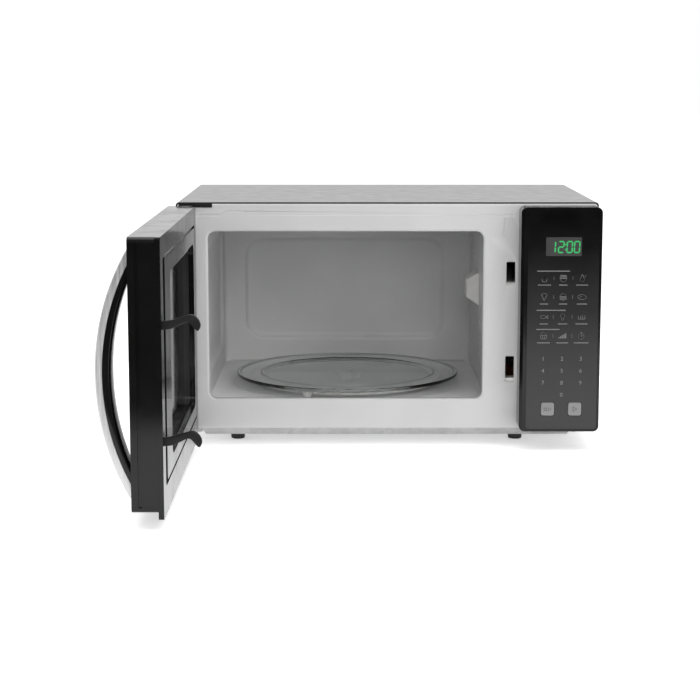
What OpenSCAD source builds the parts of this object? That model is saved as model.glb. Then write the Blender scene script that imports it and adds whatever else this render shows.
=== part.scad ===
// Countertop microwave oven with a side-hinged door, shown with its door open at a right angle.
// +Z is up, +X is to the right, the front faces -Y. The origin is on the surface that the feet
// stand on, under the middle of the whole oven with its door open. Millimetres.

/* [Cavity] */
// Inside width of the cooking cavity
cavity_w = 303; // [285:1:380]
// Inside height of the cooking cavity
cavity_h = 193.5; // [185:0.5:250]
// Inside depth of the cooking cavity
cavity_d = 283; // [272:1:360]
// Height of the cavity floor above the worktop
floor_z = 46.5; // [45:0.5:60]
// Depth of the round track pressed into the cavity floor
track_depth = 0.8; // [0.4:0.1:1.5]

/* [Cabinet] */
// Left cabinet side to the cavity's left inner wall
side_gap = 31.5; // [28:0.5:45]
// Cavity's right inner wall to the right cabinet side
bay_w = 117.5; // [116:0.5:150]
// Cavity ceiling to the cabinet top
top_gap = 24; // [22:0.5:40]
// Cavity back wall to the back of the cabinet
rear_gap = 13; // [12:0.5:60]
// Height of the front frame's bottom edge above the worktop
base_z = 18.7; // [17.5:0.1:22]
// Thickness of the sheet steel
sheet_t = 0.8; // [0.6:0.1:1.2]
// Depth of the pan pressed down into the base
pan_depth = 8.4; // [6:0.1:10]
// Diameter of each foot
foot_d = 16.8; // [12:0.1:22]

/* [Turntable] */
// Diameter of the glass tray
turntable_d = 255; // [200:1:270]
// Thickness of the glass tray
glass_t = 2.8; // [2.5:0.1:5]
// Diameter of the roller wheels
wheel_d = 9.2; // [8:0.1:13]
// Width of the roller wheels
wheel_w = 6; // [4:0.5:9]
// Diameter of the turntable motor
motor_d = 49; // [40:1:56]
// Diameter of the turntable motor's shaft
drive_shaft_d = 7; // [5:0.1:9]

/* [Door] */
// Thickness of the door from its outer face to its inner face
door_t = 29; // [26:0.5:38]
// Gap between the closed door and the front frame
door_gap = 1.5; // [1.2:0.1:3]
// Distance from the cabinet's left side to the hinge axis
hinge_inset = 11; // [10:0.5:14]
// Distance from the hinge axis to the door's inner face
hinge_depth = 11; // [10:0.5:12]
// Diameter of the hinge pins
hinge_pin_d = 6; // [4:0.1:8]
// Radial clearance of the hinge pins in their brackets
hinge_clearance = 0.08; // [0.04:0.01:0.1]
// Length of the latch hooks from the door's inner face
hook_len = 34; // [28:0.5:42]
// Thickness of the latch hooks
hook_t = 5; // [4:0.1:5.4]
// How far the latch bar lifts
latch_travel = 4; // [2:0.5:5]
// Height of the handle's arch above the door's outer face
handle_rise = 32; // [22:0.5:38]
// Length of the handle along the door
handle_len = 229; // [200:0.1:240]
// Width of the handle
handle_w = 24; // [16:0.5:30]

/* [Control panel] */
// Width of the control panel
panel_w = 85.1; // [80:0.1:95]
// Width and height of the two keys
key_size = 14.2; // [10:0.1:18]
// Travel of the two keys
key_travel = 0.6; // [0.3:0.1:1]
// Gap around each key
key_clearance = 0.35; // [0.2:0.05:0.6]
// Width of the display window
display_w = 37.8; // [30:0.1:50]
// Height of the display window
display_h = 20; // [14:0.1:26]

/* [Hidden] */
$fn = 48;

// Cabinet
body_w = side_gap + cavity_w + bay_w;
body_d = cavity_d + rear_gap;
body_h = floor_z + cavity_h + top_gap;
panel_gap = 1.4;       // gap between the closed door and the control panel
gland_flange_t = 4.5;
// How far the open door reaches past the cabinet's left side and in front of it
overhang = door_t + handle_rise - hinge_inset - hinge_depth;
reach = door_gap + hinge_depth + body_w - panel_w - panel_gap - hinge_inset;
rear_proud = gland_flange_t - sheet_t;
left = -(body_w - overhang) / 2;
right = left + body_w;
front = (reach - body_d - rear_proud) / 2;
back = front + body_d;
seam = 0.8;            // shadow gap between the front frame and the wrap
fit = 0.1;             // gap between sheets that nest
flange_d = 12;         // return flange of the front frame
hem = 9;               // rear hem of the wrap
wrap_r = 4;            // bend radius of the wrap
wrap_y0 = front + sheet_t + seam;
liner_t = 0.8;
wall_in = sheet_t + fit;

// Cavity
cav_x0 = left + side_gap;
cav_x1 = cav_x0 + cavity_w;
cav_y0 = front + sheet_t;
cav_y1 = front + cavity_d;
cav_z1 = floor_z + cavity_h;
lip_left = 2.5;
lip_right = 5.4;
lip_sill = 4.7;
lip_head = 7.2;
open_x0 = cav_x0 + lip_left;
open_x1 = cav_x1 - lip_right;
open_z0 = floor_z + lip_sill;
open_z1 = cav_z1 - lip_head;
open_r = 8;
lip_depth = 7;
track_z = floor_z - track_depth;
bay_x0 = cav_x1 + liner_t;
bay_x1 = right - sheet_t;
guide_y = front + 157.5;   // middle of the waveguide's mouth
guide_z = floor_z + 108;
guide_mouth_w = 36;
guide_mouth_h = 22;
lamp_y = front + 114;
lamp_z = floor_z + 52;
vent_y = front + 236;
vent_z = cav_z1 - 47;

// Base
pan_z = base_z - pan_depth;
deep_pan = 1.5;
foot_x = [left + 62, right - 83];
foot_y = [front + 38, back - 40];
foot_pin_d = 6;
leg_inset = 20.5;

// Turntable
tt_x = (cav_x0 + cav_x1) / 2;
tt_y = front + cavity_d / 2;
tt_r = turntable_d / 2;
roll_gap = 0.1;
wheel_z = track_z + roll_gap + wheel_d / 2;
glass_z = wheel_z + wheel_d / 2 + roll_gap;
wheel_r = tt_r - 12.5;      // distance of the wheels from the turntable's axis
ring_r = wheel_r - wheel_w / 2 - 8;
wheel_pin_d = 3;
wheel_bore_gap = 0.06;
wheel_angles = [-112.2, 7.8, 127.8];
hub_z = glass_z - 2.4;
coupler_r = 15;
motor_h = 17;
motor_top = floor_z - track_depth - liner_t - 0.4;
shaft_gap = 0.06;

// Door, in its closed place
hinge_x = left + hinge_inset;
hinge_y = front - door_gap - hinge_depth;
door_y1 = front - door_gap;
door_y0 = door_y1 - door_t;
panel_x0 = right - panel_w;
door_x0 = hinge_x - 9;
door_x1 = panel_x0 - panel_gap;
door_z0 = base_z - 2.9;
door_z1 = body_h - 3.3;
door_open = -90;
cover_t = 5;
cover_y0 = door_y1 - cover_t;
cover_x0 = hinge_x - 4;
lip_z = base_z - 9;
bezel_r = 5;
bezel_front = 3;
groove_y0 = door_y0 + 6.2;
groove_y1 = groove_y0 + 3.2;
groove_in = 1.8;
bezel_wall = 4;
glass_panel_t = 3;
glass_margin = 9;
glass_x1 = door_x1 - 40;
win_x0 = cav_x0 + 6.5;
win_x1 = win_x0 + 243.5;
win_z0 = open_z0 + 1;
win_z1 = open_z1 - 10.5;
win_r = 10;
screen_y = door_y1 - 12.5;
screen_t = 0.6;
film_t = 0.4;
choke_t = 0.8;
boss_d = 13;
boss_h = 14;
tongue_t = 2;
tongue_gap = 0.6;
tongue_r = 7;
upper_tongue_z = door_z1 - tongue_t;        // let into the door's top corner
hinge_pocket_z = upper_tongue_z - tongue_gap;
lower_tongue_z = door_z0 - tongue_gap - tongue_t;

// Latch
slot_x0 = panel_x0 - 12.7;
slot_x1 = panel_x0 - 3.4;
slot_z = [base_z + 51.3, base_z + 157.3];   // bottoms of the slots
slot_h = [27.7, 24];
hook_x = (slot_x0 + slot_x1) / 2 - 0.9;
hook_z = [base_z + 57, base_z + 160.7];     // undersides of the hooks' roots
hook_root_h = 7.6;
hook_crest = 13.2;
bar_y1 = door_y1 - cover_t - 2.6;
bar_y0 = bar_y1 - 7;
bar_z0 = hook_z[0] - 12;
bar_z1 = hook_z[1] + 20;
latch_spring_h = 20;
guide_t = 0.7;
guide_gap = 0.25;

// Handle
handle_x = door_x1 - 22;
handle_z = (door_z0 + door_z1) / 2 - 0.4;
trim_t = 7.1;
trim_half = handle_len / 2 - 14.6;
grip_gap = handle_rise - 14.7;
grip_half = handle_len / 2 - 29.5;
screw_span = handle_len / 2 - 26.5;
screw_grip = 4;         // length of the handle screws in the bar

// Control panel
panel_y0 = door_y0;
panel_z0 = base_z + 2.3;
panel_z1 = body_h - 3;
panel_r = 6;
panel_wall = 2.4;
fascia_x0 = panel_x0 + 7.1;
fascia_x1 = right - 2.6;
fascia_z0 = panel_z0 + 2.6;
fascia_z1 = panel_z1 - 2.6;
fascia_t = 2.4;
fascia_x = (fascia_x0 + fascia_x1) / 2;
key_z = panel_z0 + 24.4;
key_dx = 14.5;
key_stem_d = 5;
display_z = panel_z1 - 41.5;
board_t = 1.6;
board_y = panel_y0 + 14;

// Component bay
trafo_x = bay_x0 + 13;
trafo_y = front + 139;
trafo_w = 88;
trafo_d = 62;
trafo_h = 68;
base_top = base_z + sheet_t;
mag_y = front + 205;
mag_x0 = bay_x0 + 30.6;
mag_w = 62;
mag_d = 78;
mag_h = 92;
fan_x = bay_x0 + 60;
fan_z = floor_z + 110;
fan_r = 41;
fan_plate_y = back - 30;
shaft_r = 2.5;

// ---- Shared shapes ------------------------------------------------------------------------

// Rounded rectangle from its corners, with true arcs
module rrect(x0, x1, y0, y1, r) {
    if (r <= 0) {
        translate([x0, y0]) square([x1 - x0, y1 - y0]);
    } else {
        translate([x0 + r, y0]) square([x1 - x0 - 2 * r, y1 - y0]);
        translate([x0, y0 + r]) square([x1 - x0, y1 - y0 - 2 * r]);
        for (x = [x0 + r, x1 - r], y = [y0 + r, y1 - r])
            translate([x, y]) circle(r);
    }
}

// Box from its corners
module block(x0, x1, y0, y1, z0, z1) {
    translate([x0, y0, z0]) cube([x1 - x0, y1 - y0, z1 - z0]);
}

// Upright plate facing the front, with rounded corners
module plate_xz(x0, x1, z0, z1, y0, y1, r = 0) {
    translate([0, y1, 0]) rotate([90, 0, 0]) linear_extrude(y1 - y0) rrect(x0, x1, z0, z1, r);
}

// Upright plate facing sideways, with rounded corners
module plate_yz(y0, y1, z0, z1, x0, x1, r = 0) {
    translate([x0, 0, 0]) rotate([90, 0, 90]) linear_extrude(x1 - x0) rrect(y0, y1, z0, z1, r);
}

// Level plate with rounded corners
module plate_xy(x0, x1, y0, y1, z0, z1, r = 0) {
    translate([0, 0, z0]) linear_extrude(z1 - z0) rrect(x0, x1, y0, y1, r);
}

// Straight rod along Y
module rod_y(x, z, y0, y1, r) {
    translate([x, y1, z]) rotate([90, 0, 0]) cylinder(h = y1 - y0, r = r);
}

// Straight rod along X
module rod_x(y, z, x0, x1, r) {
    translate([x0, y, z]) rotate([0, 90, 0]) cylinder(h = x1 - x0, r = r);
}

// Frustum whose four sides slope in by s from z0 (wide) to z1 (narrow); z1 may be below z0
module taper_block(x0, x1, y0, y1, z0, z1, s) {
    intersection() {
        translate([0, y1, 0]) rotate([90, 0, 0]) linear_extrude(y1 - y0)
            polygon([[x0, z0], [x1, z0], [x1 - s, z1], [x0 + s, z1]]);
        translate([x0, 0, 0]) rotate([90, 0, 90]) linear_extrude(x1 - x0)
            polygon([[y0, z0], [y1, z0], [y1 - s, z1], [y0 + s, z1]]);
    }
}

// Moves a shape from the door's closed place to its open place
module on_door() {
    translate([hinge_x, hinge_y, 0]) rotate([0, 0, door_open])
        translate([-hinge_x, -hinge_y, 0]) children();
}

// Everything that the hinge corner of the closed door may fill as it swings past the frame
module hinge_relief() {
    swing_r = hinge_depth + door_gap - 0.4;
    difference() {
        block(door_x0 - 5, hinge_x, hinge_y, door_y1 + 5, 0, body_h);
        translate([hinge_x, hinge_y, -1]) cylinder(h = body_h + 2, r = swing_r);
    }
}

// Pocket in the door's top hinge corner that the upper hinge tongue swings in
module tongue_pocket() {
    block(door_x0 - 1, hinge_x + tongue_r + 1, hinge_y - tongue_r - 1.6, door_y1 + 1,
        hinge_pocket_z, door_z1 + 1);
}

// Tube swept round a helix: centre (x, y), from z0, with a radius, a wire, turns and height
function helix_ring(a, z, r, wire, sides) = [
    for (k = [0:sides - 1])
        let (t = 360 * k / sides)
            [(r + wire * cos(t)) * cos(a), (r + wire * cos(t)) * sin(a), z + wire * sin(t)]
];
module helix(r, wire, turns, height, steps = 18, sides = 8) {
    count = turns * steps;
    points = [
        for (i = [0:count])
            each helix_ring(360 * i / steps, wire + (height - 2 * wire) * i / count, r, wire, sides)
    ];
    walls = [
        for (i = [0:count - 1], k = [0:sides - 1])
            let (a = i * sides + k, b = i * sides + (k + 1) % sides)
                [a, b, b + sides, a + sides]
    ];
    start = [for (k = [sides - 1:-1:0]) k];
    finish = [for (k = [0:sides - 1]) count * sides + k];
    polyhedron(points, concat(walls, [start, finish]), convexity = 6);
}

// Pan-head screw along +Y, its head outside at y, its shank going in
module screw_y(x, z, y, head_r, head_h, shank_r, shank_l, into) {
    rod_y(x, z, into > 0 ? y - head_h : y, into > 0 ? y : y + head_h, head_r);
    rod_y(x, z, into > 0 ? y : y - shank_l, into > 0 ? y + shank_l : y, shank_r);
}

// ---- Cabinet ------------------------------------------------------------------------------

wrap_screw_z = [base_z + 22, body_h - 40];
wrap_screws = [
    for (z = wrap_screw_z, x = [left + hem / 2 + 0.5, right - hem / 2 - 0.5]) [x, z],
    [left + 90, body_h - hem / 2 - 0.5],
    [right - 90, body_h - hem / 2 - 0.5],
];

module wrap_outline(inset) {
    r = wrap_r - inset;
    difference() {
        rrect(left + inset, right - inset, base_z - 10, body_h - inset, r);
        translate([left - 1, base_z - 20]) square([body_w + 2, 20]);
    }
}

module side_vents(x0, x1) {
    for (row = [0:8], col = [0:1])
        plate_yz(back - 112 + 44 * col, back - 74 + 44 * col, base_z + 34 + 9 * row,
            base_z + 37.5 + 9 * row, x0, x1, 1.7);
}

module cabinet_wrap() color("silver") {
    difference() {
        translate([0, back, 0]) rotate([90, 0, 0]) linear_extrude(back - wrap_y0) wrap_outline(0);
        translate([0, back - sheet_t, 0]) rotate([90, 0, 0])
            linear_extrude(back - wrap_y0 + 1) wrap_outline(sheet_t);
        block(left + hem, right - hem, back - 2, back + 1, base_z - 1, body_h - hem);
        side_vents(left - 1, left + 2);
        side_vents(right - 2, right + 1);
        for (p = wrap_screws)
            rod_y(p[0], p[1], back - 3, back + 1, 2);
    }
}

module rear_panel() color("silver") {
    x0 = left + wall_in;
    x1 = right - wall_in;
    y0 = back - sheet_t - 1;
    y1 = back - sheet_t;
    difference() {
        plate_xz(x0, x1, base_top + fit, body_h - wall_in, y0, y1, wrap_r - wall_in);
        // Fan intake
        for (a = [0:30:359], r = [14, 24, 34])
            translate([fan_x, 0, fan_z]) rotate([0, a + r * 2, 0])
                rod_y(r, 0, y0 - 1, y1 + 1, 3.2);
        // Cavity exhaust
        for (col = [0:7], row = [0:2])
            plate_xz(left + 60 + 16 * col, left + 70 + 16 * col, body_h - 46 + 9 * row,
                body_h - 42 + 9 * row, y0 - 1, y1 + 1, 1.9);
        for (p = wrap_screws)
            rod_y(p[0], p[1], y0 - 1, y1 + 1, 2);
        rod_y(gland_x, gland_z, y0 - 1, y1 + 1, gland_r);
    }
}

gland_x = right - 42;
gland_z = base_z + 42;
gland_r = 7.5;
gland_bore = 3.7;

module cord_gland() color("dimgray") {
    y1 = back - sheet_t;
    difference() {
        union() {
            rod_y(gland_x, gland_z, y1 - 9, y1 + 1, gland_r - 0.05);
            rod_y(gland_x, gland_z, y1 - 4, y1 - 1.2, gland_r + 1.6);
            rod_y(gland_x, gland_z, y1, y1 + gland_flange_t, gland_r + 3);
        }
        rod_y(gland_x, gland_z, y1 - 10, y1 + 6, gland_bore);
    }
}

module cabinet_screws() color("gray") {
    for (p = wrap_screws)
        screw_y(p[0], p[1], back, 3.8, 2.2, 1.9, 8, -1);
}

module base_plate() color("gainsboro") {
    x0 = left + wall_in;
    x1 = right - wall_in;
    y0 = front + sheet_t + flange_d + 1;
    y1 = back - sheet_t - 1 - fit;
    px0 = left + 24;
    px1 = right - 24;
    py0 = front + 4;
    py1 = back - 16;
    dx0 = left + 115;
    dx1 = left + 307;
    difference() {
        union() {
            block(x0, x1, front + sheet_t + fit, y1, base_z, base_top);
            taper_block(px0, px1, py0, py1, base_z, pan_z, 5);
            taper_block(dx0, dx1, py0 + 8, py1 - 20, pan_z, pan_z - deep_pan, 3);
            for (x = [left + leg_inset, right - leg_inset])
                translate([x, front + 17, pan_z + 1.5])
                    cylinder(h = base_z - pan_z - 1.5, r1 = 4, r2 = 7.5);
        }
        taper_block(px0 + sheet_t, px1 - sheet_t, py0 + sheet_t, py1 - sheet_t,
            base_top + 0.01, pan_z + sheet_t, 5);
        taper_block(dx0 + sheet_t, dx1 - sheet_t, py0 + 8 + sheet_t, py1 - 20 - sheet_t,
            pan_z + sheet_t + 0.01, pan_z - deep_pan + sheet_t, 3);
        for (x = foot_x, y = foot_y)
            translate([x, y, pan_z - 1]) cylinder(h = 4, r = foot_pin_d / 2 + 0.05);
        translate([tt_x, tt_y, pan_z - 4]) cylinder(h = 8, r = motor_d / 2 - 4);
        // Air slots under the component bay
        for (row = [0:9])
            plate_xy(right - 78, right - 40, front + 60 + 9 * row, front + 63.5 + 9 * row,
                pan_z - 1, base_top + 1, 1.7);
    }
}

module motor_cover() color("gainsboro") {
    z1 = pan_z - deep_pan - 0.05;
    difference() {
        union() {
            translate([tt_x, tt_y, z1 - sheet_t]) cylinder(h = sheet_t, r = motor_d / 2 + 4);
            block(tt_x - 6, tt_x + 6, tt_y + motor_d / 2, tt_y + motor_d / 2 + 13,
                z1 - sheet_t, z1);
        }
        for (a = [0:60:359])
            translate([tt_x, tt_y, 0]) rotate([0, 0, a])
                translate([12, 0, z1 - 3]) cylinder(h = 6, r = 2);
    }
}

module feet() color("black") {
    for (x = foot_x, y = foot_y)
        translate([x, y, 0]) {
            cylinder(h = 1, r1 = foot_d / 2 - 1, r2 = foot_d / 2 - 0.3);
            translate([0, 0, 1]) cylinder(h = pan_z - 1.05, r1 = foot_d / 2 - 0.3, r2 = foot_d / 2);
            translate([0, 0, pan_z - 1]) cylinder(h = 3.6, r = foot_pin_d / 2);
            translate([0, 0, pan_z + sheet_t + 0.1]) cylinder(h = 2, r1 = 3.8, r2 = 2.6);
        }
}

// Raised rib along a chain of points on the front frame
module frame_rib(points) {
    rib_w = 2.5;
    rib_h = 0.7;
    dot_r = 1.35;
    translate([0, front + 0.1, 0]) rotate([90, 0, 0]) linear_extrude(rib_h + 0.1) {
        for (i = [0:len(points) - 2]) {
            a = points[i];
            b = points[i + 1];
            translate(a) rotate(atan2(b[1] - a[1], b[0] - a[0]))
                translate([0, -rib_w / 2]) square([norm(b - a), rib_w]);
        }
        for (p = points)
            translate(p) circle(dot_r);
    }
}

module front_frame() color("gainsboro") {
    rib_z = body_h - 13.8;
    notch_z = body_h - 5.7;
    difference() {
        union() {
            plate_xz(left, right, base_z, body_h, front, front + sheet_t, 3);
            // Return flange inside the wrap
            difference() {
                plate_xz(left + wall_in, right - wall_in, base_z + sheet_t + fit, body_h - wall_in,
                    front, front + sheet_t + flange_d, wrap_r - wall_in);
                plate_xz(left + wall_in + sheet_t, right - wall_in - sheet_t,
                    base_z + 2 * sheet_t + fit, body_h - wall_in - sheet_t,
                    front + sheet_t, front + sheet_t + flange_d + 1, 2);
            }
            // Lip that leads into the cavity
            plate_xz(open_x0 - 0.8, open_x1 + 0.8, open_z0 - 0.8, open_z1 + 0.8,
                front, front + lip_depth, open_r + 0.8);
            frame_rib([[left + 22, rib_z], [left + 47.6, rib_z], [left + 52, rib_z + 4.3],
                [left + 72, rib_z + 4.3]]);
            frame_rib([[panel_x0 - 45.3, rib_z], [panel_x0 - 4.8, rib_z]]);
            frame_rib([[panel_x0 - 14.9, rib_z - 0.6], [panel_x0 - 14.9, rib_z - 24.5]]);
        }
        plate_xz(open_x0, open_x1, open_z0, open_z1, front - 1, front + lip_depth + 1, open_r);
        for (i = [0, 1])
            plate_xz(slot_x0, slot_x1, slot_z[i], slot_z[i] + slot_h[i], front - 1,
                front + sheet_t + 1, 1);
        // Notch for the upper hinge bracket
        block(left + 3.2, left + 39.2, front - 1, front + sheet_t, notch_z, body_h + 1);
        // Openings behind the control panel
        plate_xz(panel_x0 + 22, right - 14, panel_z0 + 60, panel_z1 - 60, front - 1,
            front + sheet_t + 1, 4);
    }
}

hinge_plate_x0 = left + 3.4;
hinge_plate_x1 = left + 39;

// Tongue with the hinge bore, reaching forward from y1
module hinge_tongue(z, y1) {
    difference() {
        union() {
            translate([hinge_x, hinge_y, z]) cylinder(h = tongue_t, r = tongue_r);
            block(hinge_x - tongue_r, hinge_x + tongue_r, hinge_y, y1, z, z + tongue_t);
        }
        translate([hinge_x, hinge_y, z - 1])
            cylinder(h = tongue_t + 2, r = hinge_pin_d / 2 + hinge_clearance);
    }
}

module upper_hinge_bracket() color("black") {
    notch_z = body_h - 5.5;
    hinge_tongue(upper_tongue_z, front + 0.5);
    block(hinge_plate_x0, hinge_plate_x1, front - 0.9, front + sheet_t, notch_z, body_h - 0.7);
    block(hinge_plate_x0, hinge_plate_x1, front + sheet_t, front + sheet_t + 1.5,
        notch_z - 14, notch_z + 3);
}

module lower_hinge_bracket() color("dimgray") {
    hinge_tongue(lower_tongue_z, front + 9);
    block(hinge_x - tongue_r, hinge_x + tongue_r, front + 5, front + 9, lower_tongue_z, base_z);
}

// ---- Cavity -------------------------------------------------------------------------------

// Grid of round holes through the cavity's right wall
module wall_holes(y, z, cols, rows, pitch, r) {
    for (i = [0:cols - 1], k = [0:rows - 1])
        rod_x(y + pitch * (i - (cols - 1) / 2), z + pitch * (k - (rows - 1) / 2),
            cav_x1 - 1, cav_x1 + liner_t + 1, r);
}

back_press_x0 = cav_x0 + 26;
back_press_x1 = cav_x1 - 32;
back_press_z0 = floor_z + 29;
back_press_z1 = cav_z1 - 41;
press_depth = 2.5;

module cavity_liner() color("darkgray") {
    t = liner_t;
    difference() {
        union() {
            block(cav_x0 - t, cav_x1 + t, cav_y0, cav_y1 + t, floor_z - t, cav_z1 + t);
            // Panels pressed outwards in the back and the left wall
            plate_xz(back_press_x0 - t, back_press_x1 + t, back_press_z0 - t, back_press_z1 + t,
                cav_y1, cav_y1 + press_depth + t, 22);
            plate_yz(cav_y0 + 36, cav_y1 - 24, floor_z + 26, cav_z1 - 28,
                cav_x0 - press_depth - t, cav_x0, 18);
            translate([tt_x, tt_y, track_z - t]) cylinder(h = 2, r = tt_r + 5 + t, $fn = 96);
        }
        block(cav_x0, cav_x1, cav_y0 - 1, cav_y1, floor_z, cav_z1);
        plate_xz(back_press_x0, back_press_x1, back_press_z0, back_press_z1,
            cav_y1 - 1, cav_y1 + press_depth, 21.2);
        plate_yz(cav_y0 + 36 + t, cav_y1 - 24 - t, floor_z + 26 + t, cav_z1 - 28 - t,
            cav_x0 - press_depth, cav_x0 + 1, 17.2);
        translate([tt_x, tt_y, track_z]) cylinder(h = 5, r = tt_r + 5, $fn = 96);
        translate([tt_x, tt_y, floor_z - 5]) cylinder(h = 10, r = drive_shaft_d / 2 + 1.5);
        wall_holes(lamp_y, lamp_z, 5, 7, 6.6, 1.7);
        wall_holes(vent_y, vent_z, 3, 5, 7.5, 2);
        block(cav_x1 - 1, cav_x1 + 2, guide_y - guide_mouth_w / 2, guide_y + guide_mouth_w / 2,
            guide_z - guide_mouth_h / 2, guide_z + guide_mouth_h / 2);
    }
}

module waveguide_cover() color("gainsboro") {
    rise = 14;
    y0 = guide_y - 25.5;
    y1 = guide_y + 25.5;
    z0 = guide_z - 19.2;
    z1 = guide_z + 19.2;
    // Shell with sloping sides, its broad side against the right wall
    translate([cav_x1 - 0.05, 0, 0]) rotate([0, -90, 0]) difference() {
        taper_block(z0, z1, y0, y1, 0, rise, 9);
        taper_block(z0 + 1.2, z1 - 1.2, y0 + 1.2, y1 - 1.2, -0.01, rise - 1.2, 8.6);
    }
}

module waveguide() color("silver") {
    y0 = guide_y - 26;
    y1 = mag_y + 28;
    z0 = guide_z - 25;
    z1 = guide_z + 25;
    x0 = bay_x0 + 0.05;
    x1 = mag_x0 - 0.1;
    difference() {
        block(x0, x1, y0, y1, z0, z1);
        block(x0 + 1, x1 - 1, y0 + 1, y1 - 1, z0 + 1, z1 - 1);
        block(x0 - 1, x0 + 2, guide_y - guide_mouth_w / 2, guide_y + guide_mouth_w / 2,
            guide_z - guide_mouth_h / 2, guide_z + guide_mouth_h / 2);
        rod_x(mag_y, guide_z, x1 - 2, x1 + 1, 12);
    }
}

// ---- Component bay ------------------------------------------------------------------------

module magnetron_body() color("silver") {
    y0 = mag_y - mag_d / 2;
    y1 = mag_y + mag_d / 2;
    z0 = guide_z - mag_h / 2;
    z1 = guide_z + mag_h / 2;
    // Yoke: a steel frame open to the front and the back
    difference() {
        block(mag_x0, mag_x0 + mag_w, y0, y1, z0, z1);
        block(mag_x0 + 2, mag_x0 + mag_w - 2, y0 - 1, y1 + 1, z0 + 2, z1 - 2);
        rod_x(mag_y, guide_z, mag_x0 - 1, mag_x0 + 3, 11);
    }
    // Two ring magnets and the anode between them
    for (x = [mag_x0 + 2, mag_x0 + mag_w - 12])
        difference() {
            rod_x(mag_y, guide_z, x, x + 10, 27);
            rod_x(mag_y, guide_z, x - 1, x + 11, 10);
        }
    rod_x(mag_y, guide_z, mag_x0 + 10, mag_x0 + mag_w - 10, 17);
}

module magnetron_fins() color("silver") {
    for (i = [0:5])
        difference() {
            block(mag_x0 + 14 + 6.4 * i, mag_x0 + 14.8 + 6.4 * i, mag_y - 32, mag_y + 32,
                guide_z - mag_h / 2 + 3, guide_z + mag_h / 2 - 3);
            rod_x(mag_y, guide_z, mag_x0 + 13 + 6.4 * i, mag_x0 + 16 + 6.4 * i, 17.05);
        }
}

module magnetron_antenna() color("whitesmoke") {
    rod_x(mag_y, guide_z, mag_x0 - 9, mag_x0 + 9.9, 8);
    rod_x(mag_y, guide_z, mag_x0 - 20, mag_x0 - 9, 7);
}

module transformer_core() color("dimgray") {
    x1 = trafo_x + trafo_w;
    y1 = trafo_y + trafo_d;
    z0 = base_top;
    leg = 15;
    difference() {
        block(trafo_x, x1, trafo_y, y1, z0 + 2, z0 + trafo_h);
        for (x = [trafo_x + leg, x1 - leg - 18])
            block(x, x + 18, trafo_y - 1, y1 + 1, z0 + 2 + leg, z0 + trafo_h - leg);
    }
    // Mounting feet
    difference() {
        block(trafo_x - 5, x1 + 5, trafo_y + 8, y1 - 8, z0, z0 + 2);
        for (x = [trafo_x - 2.5, x1 + 2.5], y = [trafo_y + 14, y1 - 14])
            translate([x, y, z0 - 1]) cylinder(h = 4, r = 1.6);
    }
}

module transformer_windings() color("darkred") {
    leg = 15;
    gap = 0.3;
    x0 = trafo_x + leg + gap;
    x1 = trafo_x + trafo_w - leg - gap;
    z0 = base_top + 2 + leg + gap;
    z1 = base_top + trafo_h - leg - gap;
    mid = (z0 + z1) / 2;
    core_x0 = trafo_x + leg + 18 - gap;
    core_x1 = trafo_x + trafo_w - leg - 18 + gap;
    for (zz = [[z0, mid - 1], [mid + 1, z1]])
        difference() {
            plate_xy(x0, x1, trafo_y - 11, trafo_y + trafo_d + 11, zz[0], zz[1], 8);
            block(core_x0, core_x1, trafo_y - gap, trafo_y + trafo_d + gap, zz[0] - 1, zz[1] + 1);
        }
}

cap_x = bay_x0 + 68;
cap_y = front + 76;

module hv_capacitor() color("lightgray") {
    plate_xy(cap_x - 26, cap_x + 26, cap_y - 16, cap_y + 16, base_top + 0.1, base_top + 86, 15.9);
    for (x = [cap_x - 12, cap_x + 12])
        block(x - 3, x + 3, cap_y - 0.5, cap_y + 0.5, base_top + 86, base_top + 95);
}

module capacitor_clamp() color("silver") {
    z0 = base_top + 38;
    difference() {
        plate_xy(cap_x - 27.4, cap_x + 27.4, cap_y - 17.4, cap_y + 17.4, z0, z0 + 16, 17.3);
        plate_xy(cap_x - 26.3, cap_x + 26.3, cap_y - 16.3, cap_y + 16.3, z0 - 1, z0 + 17, 16.2);
    }
    block(cap_x + 27.3, bay_x1 - 0.2, cap_y - 10, cap_y + 10, z0 + 7, z0 + 8.2);
}

module hv_diode() color("black") {
    x = cap_x - 38;
    rod_y(x, base_top + 60, cap_y - 12, cap_y + 12, 3.5);
    rod_y(x, base_top + 60, cap_y - 22, cap_y + 22, 0.7);
}

module fan_shroud() color("dimgray") {
    y0 = fan_plate_y;
    x0 = fan_x - fan_r - 7;
    x1 = fan_x + fan_r + 7;
    z0 = fan_z - fan_r - 7;
    z1 = fan_z + fan_r + 7;
    difference() {
        union() {
            plate_xz(x0, x1, z0, z1, y0, y0 + 2.5, 5);
            rod_y(fan_x, fan_z, y0 - 14, y0 + 1, fan_r + 3.5);
        }
        rod_y(fan_x, fan_z, y0 - 15, y0 + 3, fan_r + 1.5);
    }
    // Spider that carries the motor
    difference() {
        for (a = [45, 135])
            translate([fan_x, y0 + 2.5, fan_z]) rotate([90, a, 0])
                translate([-fan_r - 4, -4, 0]) cube([2 * fan_r + 8, 8, 2]);
        rod_y(fan_x, fan_z, y0 - 1, y0 + 3, 5);
    }
    // Feet to the rear panel
    for (x = [x0, x1 - 4], z = [z0, z1 - 12])
        block(x, x + 4, y0 + 2.4, back - sheet_t - 1, z, z + 12);
}

module fan_motor() color("slategray") {
    y0 = fan_plate_y + 2.6;
    difference() {
        union() {
            plate_xz(fan_x - 24, fan_x + 24, fan_z - 20, fan_z + 20, y0 + 5, y0 + 17, 3);
            rod_y(fan_x, fan_z, y0, y0 + 21, 8);
        }
        rod_y(fan_x, fan_z, y0 - 1, y0 + 22, shaft_r + 0.05);
    }
}

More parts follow.
